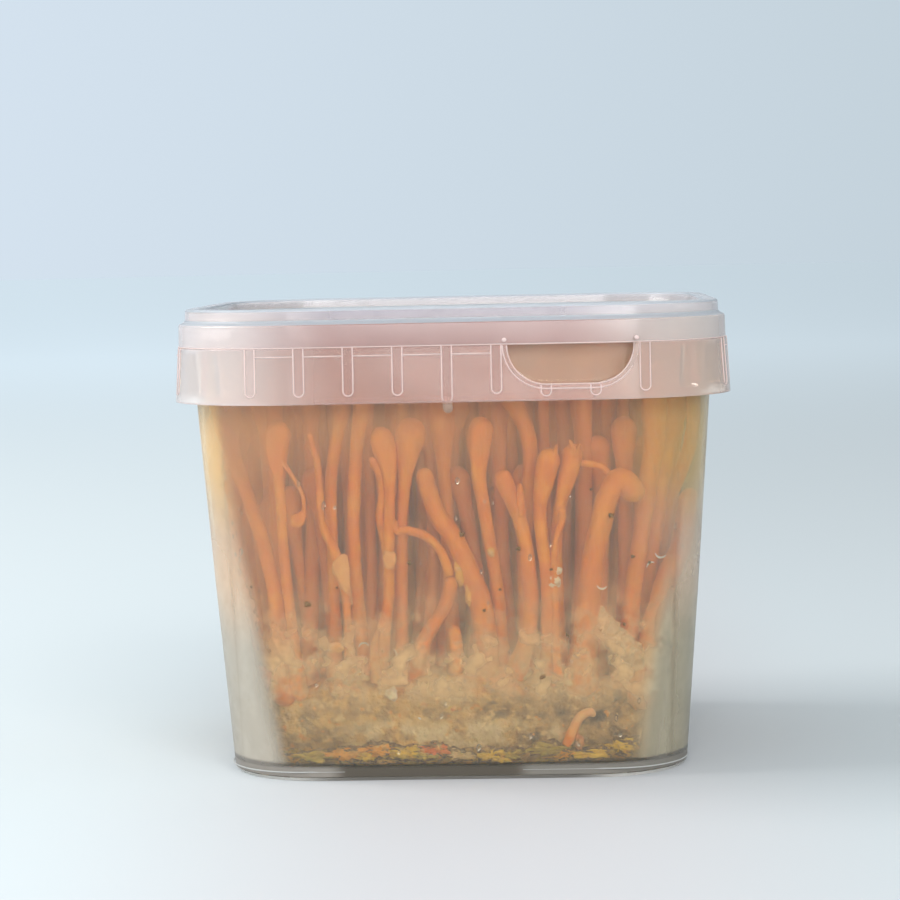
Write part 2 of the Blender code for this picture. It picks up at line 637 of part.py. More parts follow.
def settle(bodies, clump_of, stiff_count):
    """Ease neighbours apart sideways until no two touch. The first bodies give way least.

    clump_of numbers the clump that each body belongs to, and a clump's bodies may touch.
    """
    weights = [sample_weights(len(body)) for body in bodies]
    owner = np.repeat(np.arange(len(bodies)), SETTLE_SAMPLES)
    clump = np.array(clump_of)[owner]
    other = clump[:, None] != clump[None, :]
    ease = np.where(np.arange(len(bodies)) < stiff_count, 0.3, 1.0)
    give = ease[owner][:, None] / (ease[owner][:, None] + ease[owner][None, :])
    for _ in range(SETTLE_ROUNDS):
        for body in bodies:
            plant_foot(body)
        dense = np.concatenate([weight @ body for weight, body in zip(weights, bodies)])
        offset = dense[:, None, :2] - dense[None, :, :2]
        rise = dense[:, None, 2] - dense[None, :, 2]
        distance = np.sqrt((offset ** 2).sum(axis=2) + rise ** 2) + 1e-9
        wanted = dense[:, None, 3] + dense[None, :, 3] + SETTLE_GAP
        lack = np.where(other, wanted - distance, -1.0)
        lack = np.maximum(lack, 0.0)
        if lack.max() < 0.02 * MM:
            break
        flat = np.sqrt((offset ** 2).sum(axis=2)) + 1e-6
        push = offset / flat[:, :, None] * (lack * give)[:, :, None]
        strongest = np.argmax(lack * give, axis=1)
        push = push[np.arange(len(dense)), strongest]
        for index, (weight, body) in enumerate(zip(weights, bodies)):
            mine = push[index * SETTLE_SAMPLES:(index + 1) * SETTLE_SAMPLES]
            move = (weight / weight.sum(axis=0)).T @ mine
            padded = np.vstack([move[:1], move, move[-1:]])
            body[:, :2] += 0.9 * (0.25 * padded[:-2] + 0.5 * padded[1:-1] + 0.25 * padded[2:])
            for station in body:
                keep_inside(station, station[3])


def stand_on_block(body, surface):
    """Drop a body's foot to just above the lumpy top that it grows from."""
    x, y, _, radius = body[-1]
    highest = BLOCK_TOP - 4 * MM
    for step in range(9):
        reach = 0 if step == 8 else radius * 1.3
        angle = math.radians(45 * step)
        start = Vector((x + reach * math.cos(angle), y + reach * math.sin(angle), 60 * MM))
        hit = surface.ray_cast(start, Vector((0, 0, -1)))[0]
        if hit:
            highest = max(highest, hit.z)
    run = body[-1, :3] - body[-2, :3]
    lean = math.hypot(run[0], run[1]) / max(np.linalg.norm(run), 1e-6)
    body[-1, 2] = highest + CLEAR + radius * lean
    keep_inside(body[-1], radius)


def flesh_curve(name, bodies, material):
    """A curve object with one round, closed tube for each body."""
    curve = bpy.data.curves.new(name, "CURVE")
    curve.dimensions = "3D"
    curve.bevel_depth = 1 * MM
    curve.bevel_resolution = 1
    curve.use_fill_caps = True
    for stations in bodies:
        spline = curve.splines.new("POLY")
        spline.points.add(len(stations) - 1)
        for point, (x, y, z, radius) in zip(spline.points, stations):
            point.co = (x, y, z, 1.0)
            point.radius = radius / MM
        spline.use_smooth = True
    curve.materials.append(material)
    return bpy.data.objects.new(name, curve)


def flesh_mesh(name, bodies, collection, material):
    """The same as a mesh whose caps are welded, so that it can be joined with another."""
    curve = flesh_curve(name + "_curve", bodies, material)
    collection.objects.link(curve)
    bpy.context.view_layer.update()
    evaluated = curve.evaluated_get(bpy.context.evaluated_depsgraph_get())
    bm = bmesh.new()
    bm.from_mesh(evaluated.to_mesh())
    bpy.data.objects.remove(curve)
    bmesh.ops.remove_doubles(bm, verts=bm.verts, dist=0.001 * MM)
    return object_from_bmesh(name, bm, collection, material)


def build_clump(name, bodies, collection, cutters, material):
    """One solid for the bodies that share a foot."""
    clump = flesh_mesh(name, bodies[:1], collection, material)
    add_boolean(clump, flesh_mesh(name + "_sides", bodies[1:], cutters, material), "UNION")
    clump.modifiers[-1].use_self = True


def build_fruiting_bodies(collection, cutters, block, material):
    clumps = [[body] for body in front_row()]
    stiff_count = len(clumps)
    for row in BACK_ROWS:
        clumps.extend([body] for body in grown_row(BACK_RINGS, *row))
    for row, turns in CLUMP_ROWS:
        clumps.extend(grown_clumps(row, turns))
    bodies = [body for clump in clumps for body in clump]
    settle(bodies, [n for n, clump in enumerate(clumps) for _ in clump], stiff_count)
    surface = BVHTree.FromObject(block, bpy.context.evaluated_depsgraph_get())
    for number, clump in enumerate(clumps, start=1):
        name = f"fruiting_body_{number:02d}"
        gather_feet(clump)
        for body in clump:
            stand_on_block(body, surface)
        if len(clump) == 1:
            collection.objects.link(flesh_curve(name, clump, material))
        else:
            build_clump(name, clump, collection, cutters, material)


def main():
    clear_scene()
    parts = make_collection("cordyceps_tub")
    cutters = make_collection("tools")
    plastic = make_material("milky_plastic", (0.86, 0.88, 0.88), 0.3, alpha=0.35)
    lid_plastic = make_material("lid_plastic", (0.88, 0.89, 0.90), 0.25, alpha=0.35)
    grain = make_material("grain_block", (0.50, 0.42, 0.28), 0.85)
    flesh = make_material("orange_flesh", (0.83, 0.38, 0.12), 0.55)
    build_tub(parts, cutters, plastic)
    build_lid(parts, lid_plastic)
    block = build_block(parts, grain)
    bpy.context.view_layer.update()
    build_fruiting_bodies(parts, cutters, block, flesh)


main()
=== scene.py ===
"""Cordyceps growing in a lidded tub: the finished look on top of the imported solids.

Lengths in the tables are millimetres. The tub stands on z = 0, and -Y is its photographed side.
"""

import math
import random

import bmesh
import bpy
from bpy.props import FloatProperty, FloatVectorProperty, IntProperty, PointerProperty
from mathutils import Matrix, Vector, noise


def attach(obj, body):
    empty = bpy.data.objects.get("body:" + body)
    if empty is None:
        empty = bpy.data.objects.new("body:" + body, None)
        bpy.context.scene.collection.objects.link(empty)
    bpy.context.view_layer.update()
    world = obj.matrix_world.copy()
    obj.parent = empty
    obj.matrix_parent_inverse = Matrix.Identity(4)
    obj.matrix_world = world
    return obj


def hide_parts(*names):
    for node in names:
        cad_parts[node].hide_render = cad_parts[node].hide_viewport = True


bl_info = {
    "name": "Cordyceps tub",
    "version": (1, 0, 0),
    "blender": (4, 5, 0),
    "location": "3D View > Sidebar > Cordyceps tub",
    "description": "Builds a lidded tub of cordyceps, piece by piece",
    "category": "Object",
}

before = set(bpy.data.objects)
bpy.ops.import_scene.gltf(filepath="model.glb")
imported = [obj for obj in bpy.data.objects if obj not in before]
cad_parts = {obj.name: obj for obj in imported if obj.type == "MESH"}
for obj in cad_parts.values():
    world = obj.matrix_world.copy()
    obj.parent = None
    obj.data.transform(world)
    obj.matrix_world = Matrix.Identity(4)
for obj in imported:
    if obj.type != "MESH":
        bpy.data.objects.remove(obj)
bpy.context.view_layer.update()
MM = 0.001

# ------------------------------------------------------------------ sizes of the moulded pieces

WALL = 0.9
FOOT_HALF = 49.6
FOOT_RISE = 0.8
FOOT_CURVE = 0.7
FLOOR_TOP = 2.0
BOW = 0.25
MID_Z = 42.0
HEM_Z = 81.1
HEM_WALL_HALF = 55.6
SHELF_Z = 91.7
SHELF_TOP = 92.9
SHELF_WALL_HALF = 56.3
COLLAR_TOP_HALF = 59.4
COLLAR_HEM_HALF = 60.1
RIM_TOP = 99.3
CORNER_AT_FOOT = 20.5
CORNER_CENTRE = 32.8
CORNER_AT_SHELF = SHELF_WALL_HALF - CORNER_CENTRE
RIB_WIDTH = 2.0
RIB_PITCH = 10.28
RIBS_EACH_WAY = 4
RIB_TOP = SHELF_Z + 0.5
RIB_BOTTOM = 82.8
CENTRE_RIB_BOTTOM = 78.7
CUT_RIBS = (2, 3)                # the front gussets that the recess cuts short
CUT_RIB_BOTTOM = RIB_BOTTOM - 0.7
BITE = 0.4
RECESS_X = 2.5 * RIB_PITCH
RECESS_HALF = 13.2
RECESS_FLOOR = 84.5
RECESS_RADIUS = 8.2
RECESS_WEB = 1.0
RECESS_BACK = 56.85
LID_TOP = 101.0
LID_HALF = 59.2
LID_GAP = 0.04
BEAD_HALF = 57.6
PANEL_TOP = 98.5
PANEL_UNDER = 97.7
BLOCK_TOP = 21.0
# Painted light: the moulded lines are lighter than the plastic, for the light that their edges
# catch.
PANEL_LINE = 91.1                # the light line along the top of the collar's panels
LINE_WIDTH = 0.28
LINE_SINK = 0.005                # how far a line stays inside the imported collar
# Painted highlight along the edge of the floor, low on the wall.
BASE_LINE = 2.0
BASE_LINE_GAP = (-24.0, 14.0)

CLEARANCE = 0.3                  # between what grows and the inner face of the wall
WALL_STATIONS = (14, 28, MID_Z, 56, 69, HEM_Z)
FILM_STATIONS = (8, 14, 22, 32, MID_Z, 56, 69)
SOFT_EDGE_ANGLE = 38             # degrees, like the next one
SHARP_ANGLE = 50

# Material slots of the tub's and the lid's meshes.
TUB_WALL, TUB_EDGE, TUB_COLLAR, TUB_BASE = range(4)
LID_PANEL, LID_STEP, LID_EDGE, LID_SKIRT, LID_BEAD = range(5)

BODY_COUNT = 56
BODY_NODES = [f"fruiting_body_{number:02d}" for number in range(1, BODY_COUNT + 1)]


# ------------------------------------------------------------------ settings in the sidebar

class PlasticSettings(bpy.types.PropertyGroup):
    corner_steps: IntProperty(
        name="Corner steps", description="Facets round each corner of the tub and the lid",
        default=16, min=4, max=40)
    edge_width: FloatProperty(
        name="Edge width", description="Width of the softened moulded edges",
        default=0.28 * MM, unit="LENGTH", min=0.0)
    # The wall's warm tint is partly painted light: the orange light of the flesh inside, scattered
    # by the plastic.
    wall_colour: FloatVectorProperty(
        name="Wall colour", description="Tint of the tub's plastic",
        default=(1.0, 0.94, 0.80), subtype="COLOR", min=0.0, max=1.0)
    collar_colour: FloatVectorProperty(
        name="Collar colour", description="Tint along the sides of the collar",
        default=(0.57, 0.345, 0.29), subtype="COLOR", min=0.0, max=1.0)
    # Lighter than the plastic elsewhere: partly the milkiness of the bends, partly painted light
    # where the key light from the left catches the corners; the corners at the right get darker
    # tints.
    corner_colour: FloatVectorProperty(
        name="Corner colour", description="Tint round the corners of the collar and the lid's bead",
        default=(1.0, 0.90, 0.87), subtype="COLOR", min=0.0, max=1.0)
    clearness: FloatProperty(
        name="Clearness", description="Share of the light that goes through the plastic",
        default=0.975, subtype="FACTOR", min=0.0, max=1.0)
    collar_clearness: FloatProperty(
        name="Collar clearness", description="The same for the collar and the lid's edge",
        default=0.66, subtype="FACTOR", min=0.0, max=1.0)
    lid_clearness: FloatProperty(
        name="Lid clearness", description="The same for the top of the lid",
        default=0.72, subtype="FACTOR", min=0.0, max=1.0)


class FleshSettings(bpy.types.PropertyGroup):
    colour: FloatVectorProperty(
        name="Flesh", description="Main colour of the fruiting bodies",
        default=(0.88, 0.238, 0.006), subtype="COLOR", min=0.0, max=1.0)
    light_colour: FloatVectorProperty(
        name="Light flesh", description="Paler flesh in patches and towards the feet",
        default=(0.96, 0.345, 0.015), subtype="COLOR", min=0.0, max=1.0)


class StageSettings(bpy.types.PropertyGroup):
    floor_colour: FloatVectorProperty(
        name="Floor", description="Colour of the surface that the tub stands on",
        default=(0.455, 0.445, 0.455), subtype="COLOR", min=0.0, max=1.0)
    key_strength: FloatProperty(
        name="Key light", description="Power of the soft light at the upper left, in watts",
        default=16.0, unit="POWER", min=0.0)
    fill_strength: FloatProperty(
        name="Front fill", description="Power of the large soft light behind the camera, in watts",
        default=27.0, unit="POWER", min=0.0)


# ------------------------------------------------------------------ general helpers

def between(value, low, high, at_low, at_high):
    """Straight-line value between two known ones, also past their ends."""
    return at_low + (at_high - at_low) * (value - low) / (high - low)


def smooth_step(value, low, high):
    """0 below low, 1 above high, and eased between them."""
    t = min(max((value - low) / (high - low), 0.0), 1.0)
    return t * t * (3 - 2 * t)


def verts_of(result):
    return [item for item in result["geom"] if isinstance(item, bmesh.types.BMVert)]


def face_outward(bm):
    bmesh.ops.recalc_face_normals(bm, faces=bm.faces)


def fill_openings(bm):
    bmesh.ops.holes_fill(bm, edges=[e for e in bm.edges if e.is_boundary], sides=0)


def mesh_from(bm, name):
    """A mesh with a bmesh's shape. The bmesh is freed."""
    mesh = bpy.data.meshes.new(name)
    bm.to_mesh(mesh)
    bm.free()
    return mesh


def new_object(name, data):
    """An object in the scene's collection."""
    made = bpy.data.objects.new(name, data)
    bpy.context.scene.collection.objects.link(made)
    return made


def finish_piece(name, bm, materials, nodes=(), smooth_angle=None):
    """Make a piece from a bmesh that is in millimetres, and let it ride on the model."""
    bmesh.ops.scale(bm, vec=(MM, MM, MM), verts=bm.verts)
    mesh = mesh_from(bm, name)
    mesh.shade_smooth()
    if smooth_angle is not None:
        mesh.set_sharp_from_angle(angle=math.radians(smooth_angle))
    piece = new_object(name, mesh)
    for material in materials:
        mesh.materials.append(material)
    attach(piece, "root")
    if nodes:
        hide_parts(*nodes)
    return piece


def merged_copy(node):
    """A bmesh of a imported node, in millimetres, with its loose triangles joined."""
    bm = bmesh.new()
    bm.from_mesh(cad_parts[node].data)
    bmesh.ops.remove_doubles(bm, verts=bm.verts, dist=2e-6)
    bmesh.ops.scale(bm, vec=(1 / MM, 1 / MM, 1 / MM), verts=bm.verts)
    return bm


# ------------------------------------------------------------------ material helpers

PLASTIC_IOR = 1.49
WATER_IOR = 1.33


def feed(tree, node, values):
    """Set a node's inputs. Each value is a plain value or another node's output."""
    for name, value in values.items():
        if isinstance(value, bpy.types.NodeSocket):
            tree.links.new(value, node.inputs[name])
        else:
            node.inputs[name].default_value = value


def add_node(tree, kind, inputs=None, **settings):
    """Add a shader node with its settings and its inputs."""
    node = tree.nodes.new(kind)
    for name, value in settings.items():
        setattr(node, name, value)
    feed(tree, node, inputs or {})
    return node


def coordinates(tree, kind="Object"):
    """The shaded point, and its X, Y and Z. They are metres in the piece's own space."""
    place = add_node(tree, "ShaderNodeTexCoord").outputs[kind]
    return place, axes_of(tree, place)


def axes_of(tree, place):
    """A point's X, Y and Z."""
    return add_node(tree, "ShaderNodeSeparateXYZ", {"Vector": place}).outputs


def unsigned_axes(tree, place):
    """A point's X, Y and Z without their signs, so that all sides of the tub are alike."""
    size = add_node(tree, "ShaderNodeVectorMath", {0: place}, operation="ABSOLUTE").outputs[0]
    return axes_of(tree, size)


def rgba(colour):
    return (*colour, 1.0)


def new_material(name):
    material = bpy.data.materials.new(name)
    material.use_nodes = True
    tree = material.node_tree
    return material, tree, tree.nodes["Principled BSDF"]


def new_group(name, inputs, outputs):
    """A shader node group. inputs are (name, type, default) and outputs (name, type)."""
    group = bpy.data.node_groups.new(name, "ShaderNodeTree")
    for label, kind, default in inputs:
        socket = group.interface.new_socket(label, in_out="INPUT", socket_type=kind)
        socket.default_value = default
    for label, kind in outputs:
        group.interface.new_socket(label, in_out="OUTPUT", socket_type=kind)
    return group, group.nodes.new("NodeGroupInput"), group.nodes.new("NodeGroupOutput")


def place_group(tree, name, inputs):
    return add_node(tree, "ShaderNodeGroup", inputs, node_tree=bpy.data.node_groups[name])


def ensure_patch_group():
    """Cloudy patches: a mask from noise on the piece's own coordinates, in millimetres."""
    name = "cloudy patches"
    if name in bpy.data.node_groups:
        return name
    group, given, result = new_group(
        name,
        [("Size mm", "NodeSocketFloat", 8.0), ("Detail", "NodeSocketFloat", 3.0),
         ("Low", "NodeSocketFloat", 0.4), ("High", "NodeSocketFloat", 0.6),
         ("Seed", "NodeSocketFloat", 0.0), ("Flatten", "NodeSocketFloat", 1.0)],
        [("Mask", "NodeSocketFloat")])
    place = add_node(group, "ShaderNodeTexCoord").outputs["Object"]
    squeeze = add_node(group, "ShaderNodeCombineXYZ", {0: 1.0, 1: 1.0, 2: given.outputs["Flatten"]})
    place = add_node(group, "ShaderNodeVectorMath", {0: place, 1: squeeze.outputs[0]},
                     operation="MULTIPLY").outputs[0]
    scale = add_node(group, "ShaderNodeMath", {0: 1 / MM, 1: given.outputs["Size mm"]},
                     operation="DIVIDE")
    cloud = add_node(group, "ShaderNodeTexNoise", {
        "Vector": place, "W": given.outputs["Seed"], "Scale": scale.outputs[0],
        "Detail": given.outputs["Detail"]}, noise_dimensions="4D")
    ramp = add_node(group, "ShaderNodeMapRange", {
        "Value": cloud.outputs["Fac"], "From Min": given.outputs["Low"],
        "From Max": given.outputs["High"]}, interpolation_type="SMOOTHSTEP")
    group.links.new(ramp.outputs["Result"], result.inputs["Mask"])
    return name


def patches(tree, size, low, high, seed, detail=3.0, flatten=1.0):
    return place_group(tree, ensure_patch_group(), {
        "Size mm": size, "Detail": detail, "Low": low, "High": high, "Seed": seed,
        "Flatten": flatten}).outputs["Mask"]


def ramp(tree, value, low, high, at_low=0.0, at_high=1.0):
    """An eased step of a shader value."""
    return add_node(tree, "ShaderNodeMapRange", {
        "Value": value, "From Min": low, "From Max": high, "To Min": at_low, "To Max": at_high},
        interpolation_type="SMOOTHSTEP").outputs["Result"]


def corner_mask(tree, place, low, high):
    """0 along the tub's flat sides and 1 round its corners."""
    parts = unsigned_axes(tree, place)
    return ramp(tree, maths(tree, "MINIMUM", parts["X"], parts["Y"]), low, high)


def mix_colour(tree, mask, first, second, blend="MIX"):
    """The first colour where the mask is 0, and the second where it is 1."""
    return add_node(tree, "ShaderNodeMix", {0: mask, 6: first, 7: second}, data_type="RGBA",
                    blend_type=blend).outputs[2]


def maths(tree, operation, *values):
    """What a maths node makes of the values, which are numbers or other nodes' outputs."""
    return add_node(tree, "ShaderNodeMath", dict(enumerate(values)),
                    operation=operation).outputs[0]


def times(tree, first, second):
    return maths(tree, "MULTIPLY", first, second)


def plus(tree, first, second):
    return maths(tree, "ADD", first, second)


def bump(tree, height, distance, strength=1.0):
    return add_node(tree, "ShaderNodeBump", {
        "Height": height, "Distance": distance, "Strength": strength}).outputs["Normal"]


def plastic_material(name, middle, corner, clearness, roughness, bend=(0.036, 0.048),
                     shaded_right_corner=None):
    """Milky plastic with one tint along the sides and another round the corners.

    roughness is its lowest and highest value. bend is where the corners' tint starts and is full.
    The corners at the right can take a darker tint of their own: painted shade, as the light falls
    from the left.
    """
    material, tree, shader = new_material(name)
    mist = patches(tree, 9.0, 0.35, 0.7, 2.0)
    uneven = add_node(tree, "ShaderNodeMapRange", {
        "Value": mist, "To Min": roughness[0], "To Max": roughness[1]}).outputs["Result"]
    ripple = patches(tree, 14.0, 0.2, 0.8, 7.0, detail=1.0)
    place, axes = coordinates(tree)
    # Painted light and shade: the corners at the left are lighter and those at the right darker, as
    # the light falls from the left.
    corners = mix_colour(tree, ramp(tree, axes["X"], -0.010, 0.010), rgba(corner),
                         rgba(shaded_right_corner or corner))
    tint = mix_colour(tree, corner_mask(tree, place, *bend), rgba(middle), corners)
    feed(tree, shader, {
        "Base Color": tint, "Roughness": uneven, "IOR": PLASTIC_IOR, "Specular IOR Level": 0.3,
        "Transmission Weight": clearness, "Normal": bump(tree, ripple, 0.0002, 0.4)})
    return material


def milky_material(name, colour, clearness, roughness=0.45):
    """Plastic of one colour. At bends and mould lines it is lighter: painted light, for the light
    that these edges catch and carry.
    """
    material, tree, shader = new_material(name)
    feed(tree, shader, {
        "Base Color": rgba(colour), "Roughness": roughness, "IOR": PLASTIC_IOR,
        "Specular IOR Level": 0.3, "Transmission Weight": clearness})
    return material


def flesh_material():
    """Orange flesh: redder where tone is high, paler where it is below zero or near the foot."""
    settings = bpy.context.scene.tub_flesh
    material, tree, shader = new_material("orange_flesh")
    place, axes = coordinates(tree)
    tone = add_node(tree, "ShaderNodeAttribute", attribute_name="tone").outputs["Fac"]
    light = patches(tree, 6.0, 0.40, 0.66, 1.0)
    colour = mix_colour(tree, light, rgba(settings.colour), rgba(settings.light_colour))
    colour = mix_colour(tree, tone, colour, (0.74, 0.19, 0.04, 1))
    colour = mix_colour(tree, times(tree, tone, -1.0), colour, (0.92, 0.62, 0.30, 1))
    streaks = patches(tree, 1.5, 0.36, 0.64, 15.0, detail=7.0, flatten=0.35)
    colour = mix_colour(tree, times(tree, streaks, 0.2), colour, (0.62, 0.13, 0.006, 1))
    foot = ramp(tree, axes["Z"], 0.021, 0.036, 0.85, 0.0)
    web = patches(tree, 5.0, 0.30, 0.66, 8.0, detail=5.0)
    colour = mix_colour(tree, times(tree, foot, web), colour, (0.88, 0.60, 0.32, 1))
    grain = add_node(tree, "ShaderNodeTexVoronoi", {"Vector": place, "Scale": 2600.0},
                     feature="F1").outputs["Distance"]
    feed(tree, shader, {
        "Base Color": colour, "Roughness": 0.55, "IOR": 1.4,
        "Subsurface Weight": 0.25, "Subsurface Radius": (1.0, 0.45, 0.2),
        "Subsurface Scale": 0.0012, "Normal": bump(tree, grain, 0.00012, 0.5)})
    return material


def grain_colours(tree):
    """Colours of the block: brown grain, cream growth, a pale band and a yellow rind below.

    The grain is darker at the right, with more dark patches there: painted shade, as the light
    falls from the left.
    """
    place, axes = coordinates(tree)
    across, height = axes["X"], axes["Z"]
    # Painted shade: the grain's colours are darker at the right, as the light falls from the left.
    right = ramp(tree, across, -0.005, 0.030)
    brown = mix_colour(tree, right, (0.50, 0.30, 0.105, 1), (0.23, 0.15, 0.07, 1))
    ochre = mix_colour(tree, right, (0.85, 0.52, 0.18, 1), (0.58, 0.36, 0.145, 1))
    colour = mix_colour(tree, patches(tree, 3.4, 0.36, 0.62, 1.0, detail=6.0), brown, ochre)
    dark = times(tree, patches(tree, 5.0, 0.54, 0.64, 5.0, detail=4.0),
                 ramp(tree, across, -0.010, 0.030, 0.4, 0.9))
    colour = mix_colour(tree, dark, colour, (0.11, 0.085, 0.06, 1))
    colour = mix_colour(tree, patches(tree, 2.0, 0.53, 0.66, 4.0, detail=6.0), colour,
                        (0.84, 0.58, 0.27, 1))
    colour = mix_colour(tree, patches(tree, 1.8, 0.62, 0.69, 6.0), colour, (0.85, 0.38, 0.07, 1))
    band = times(tree, ramp(tree, height, 0.0050, 0.0075),
                 ramp(tree, height, 0.0100, 0.0138, 1.0, 0.0))
    ends = corner_mask(tree, place, 0.018, 0.030)
    band = times(tree, band, maths(tree, "SUBTRACT", 1.0, ends))
    band = times(tree, band, patches(tree, 5.0, 0.42, 0.56, 9.0, detail=6.0))
    colour = mix_colour(tree, band, colour, (0.84, 0.66, 0.38, 1))
    rind = mix_colour(tree, patches(tree, 3.2, 0.42, 0.56, 21.0, flatten=2.0),
                      (0.78, 0.53, 0.10, 1), (0.92, 0.46, 0.07, 1))
    rind = mix_colour(tree, patches(tree, 1.3, 0.52, 0.60, 22.0, detail=5.0, flatten=2.5), rind,
                      (0.24, 0.15, 0.07, 1))
    low = times(tree, ramp(tree, height, 0.0050, 0.0068, 1.0, 0.0),
                patches(tree, 6.0, 0.34, 0.48, 23.0))
    colour = mix_colour(tree, low, colour, rind)
    growth = mix_colour(tree, patches(tree, 7.0, 0.40, 0.60, 12.0), (0.78, 0.52, 0.27, 1),
                        (0.85, 0.38, 0.13, 1))
    top = times(tree, ramp(tree, height, 0.0165, 0.0205),
                patches(tree, 5.0, 0.30, 0.52, 14.0, detail=6.0))
    return mix_colour(tree, top, colour, growth)


def grain_material():
    """Cooked grain matted with growth."""
    material, tree, shader = new_material("grain_block")
    feed(tree, shader, {
        "Base Color": grain_colours(tree), "Roughness": 0.6, "Subsurface Weight": 0.15,
        "Subsurface Radius": (1.0, 0.6, 0.3), "Subsurface Scale": 0.001,
        "Normal": bump(tree, patches(tree, 1.7, 0.2, 0.8, 4.0, detail=7.0), 0.0012, 0.8)})
    return material


def growth_material():
    """Mycelium, rind and crumbs: each lump's own tint over the block's colours."""
    material, tree, shader = new_material("growth")
    tint = add_node(tree, "ShaderNodeAttribute", attribute_name="tint").outputs["Color"]
    cloud = patches(tree, 1.3, 0.46, 0.66, 3.0, detail=6.0)
    colour = mix_colour(tree, times(tree, cloud, 0.7), tint, grain_colours(tree))
    feed(tree, shader, {
        "Base Color": colour, "Roughness": 0.6, "Subsurface Weight": 0.2,
        "Subsurface Radius": (1.0, 0.6, 0.3), "Subsurface Scale": 0.001,
        "Normal": bump(tree, cloud, 0.0004, 0.6)})
    return material


def water_material():
    material, tree, shader = new_material("water_drops")
    feed(tree, shader, {
        "Base Color": (1, 1, 1, 1), "Roughness": 0.0, "IOR": WATER_IOR,
        "Transmission Weight": 1.0})
    return material


def corner_reach(tree, parts, height, slope):
    """How far a point lies towards a corner, less the wall's widening up to its height."""
    return maths(tree, "SUBTRACT", maths(tree, "MINIMUM", parts["X"], parts["Y"]),
                 times(tree, height, slope))


def mist_material():
    """Condensed water and growth on the inside of the wall: a see-through, cloudy veil.

    It is warm where it is lit by the flesh behind it, thicker low down and in the corners.
    These warm tints are painted light, and so is an orange glow added high up and on the left side.
    """
    material, tree, shader = new_material("inner_mist_and_glow")
    place, signed = coordinates(tree)
    height = signed["Z"]
    parts = unsigned_axes(tree, place)
    reach = corner_reach(tree, parts, height, 0.17)
    corner = ramp(tree, reach, 0.0345, 0.0405)
    outer = maths(tree, "SUBTRACT", parts["X"], times(tree, height, 0.075))
    side = times(tree, ramp(tree, outer, 0.0440, 0.0475),
                 ramp(tree, parts["Y"], 0.005, 0.030, 0.3, 1.0))
    corner = maths(tree, "MAXIMUM", corner, times(tree, side, 0.9))
    cloud = patches(tree, 8.0, 0.36, 0.62, 3.0, detail=4.0)
    wisps = patches(tree, 4.0, 0.42, 0.66, 17.0, detail=6.0)
    veil = maths(tree, "MULTIPLY_ADD", cloud, 0.05, 0.04)
    haze = times(tree, ramp(tree, height, 0.026, 0.046, 1.0, 0.0),
                 ramp(tree, height, 0.014, 0.021))
    for mask, share in ((cloud, 0.16), (wisps, 0.32)):
        part = times(tree, haze, mask)
        veil = plus(tree, veil, times(tree, part, share))
    edge = ramp(tree, height, 0.030, 0.056, 0.45, 0.05)
    veil = plus(tree, veil, times(tree, corner, edge))
    middle_tint = mix_colour(tree, ramp(tree, height, 0.024, 0.044), (0.90, 0.66, 0.38, 1),
                             (0.95, 0.53, 0.28, 1))
    middle_tint = mix_colour(tree, ramp(tree, height, 0.007, 0.012), (0.74, 0.49, 0.22, 1),
                             middle_tint)
    # Painted light: a thicker, more orange veil on the lit left side of the tub.
    left = times(tree, ramp(tree, signed["X"], -0.047, -0.030, 1.0, 0.0),
                 ramp(tree, height, 0.022, 0.034))
    left = times(tree, left, ramp(tree, signed["Y"], -0.045, -0.015, 1.0, 0.3))
    # Painted light: an orange glow added high up, stronger at the left.
    upper = ramp(tree, height, 0.062, 0.078)
    glow = times(tree, upper, ramp(tree, signed["X"], -0.010, 0.030, 0.14, 0.03))
    middle_tint = mix_colour(tree, maths(tree, "MAXIMUM", upper, left), middle_tint,
                             (1.0, 0.50, 0.20, 1))
    veil = plus(tree, veil, glow)
    veil = plus(tree, veil, times(tree, left, 0.15))
    under_collar = ramp(tree, height, 0.080, 0.084)
    middle_tint = mix_colour(tree, under_collar, middle_tint, (0.98, 0.70, 0.63, 1))
    corner_tint = mix_colour(tree, ramp(tree, height, 0.030, 0.060), (0.80, 0.77, 0.70, 1),
                            (0.90, 0.72, 0.50, 1))
    tint = mix_colour(tree, corner, middle_tint, corner_tint)
    veil = plus(tree, veil, times(tree, under_collar, 0.24))
    feed(tree, shader, {
        "Base Color": tint, "Roughness": 0.9, "Specular IOR Level": 0.1,
        "Alpha": maths(tree, "MINIMUM", veil, 0.7)})
    return material


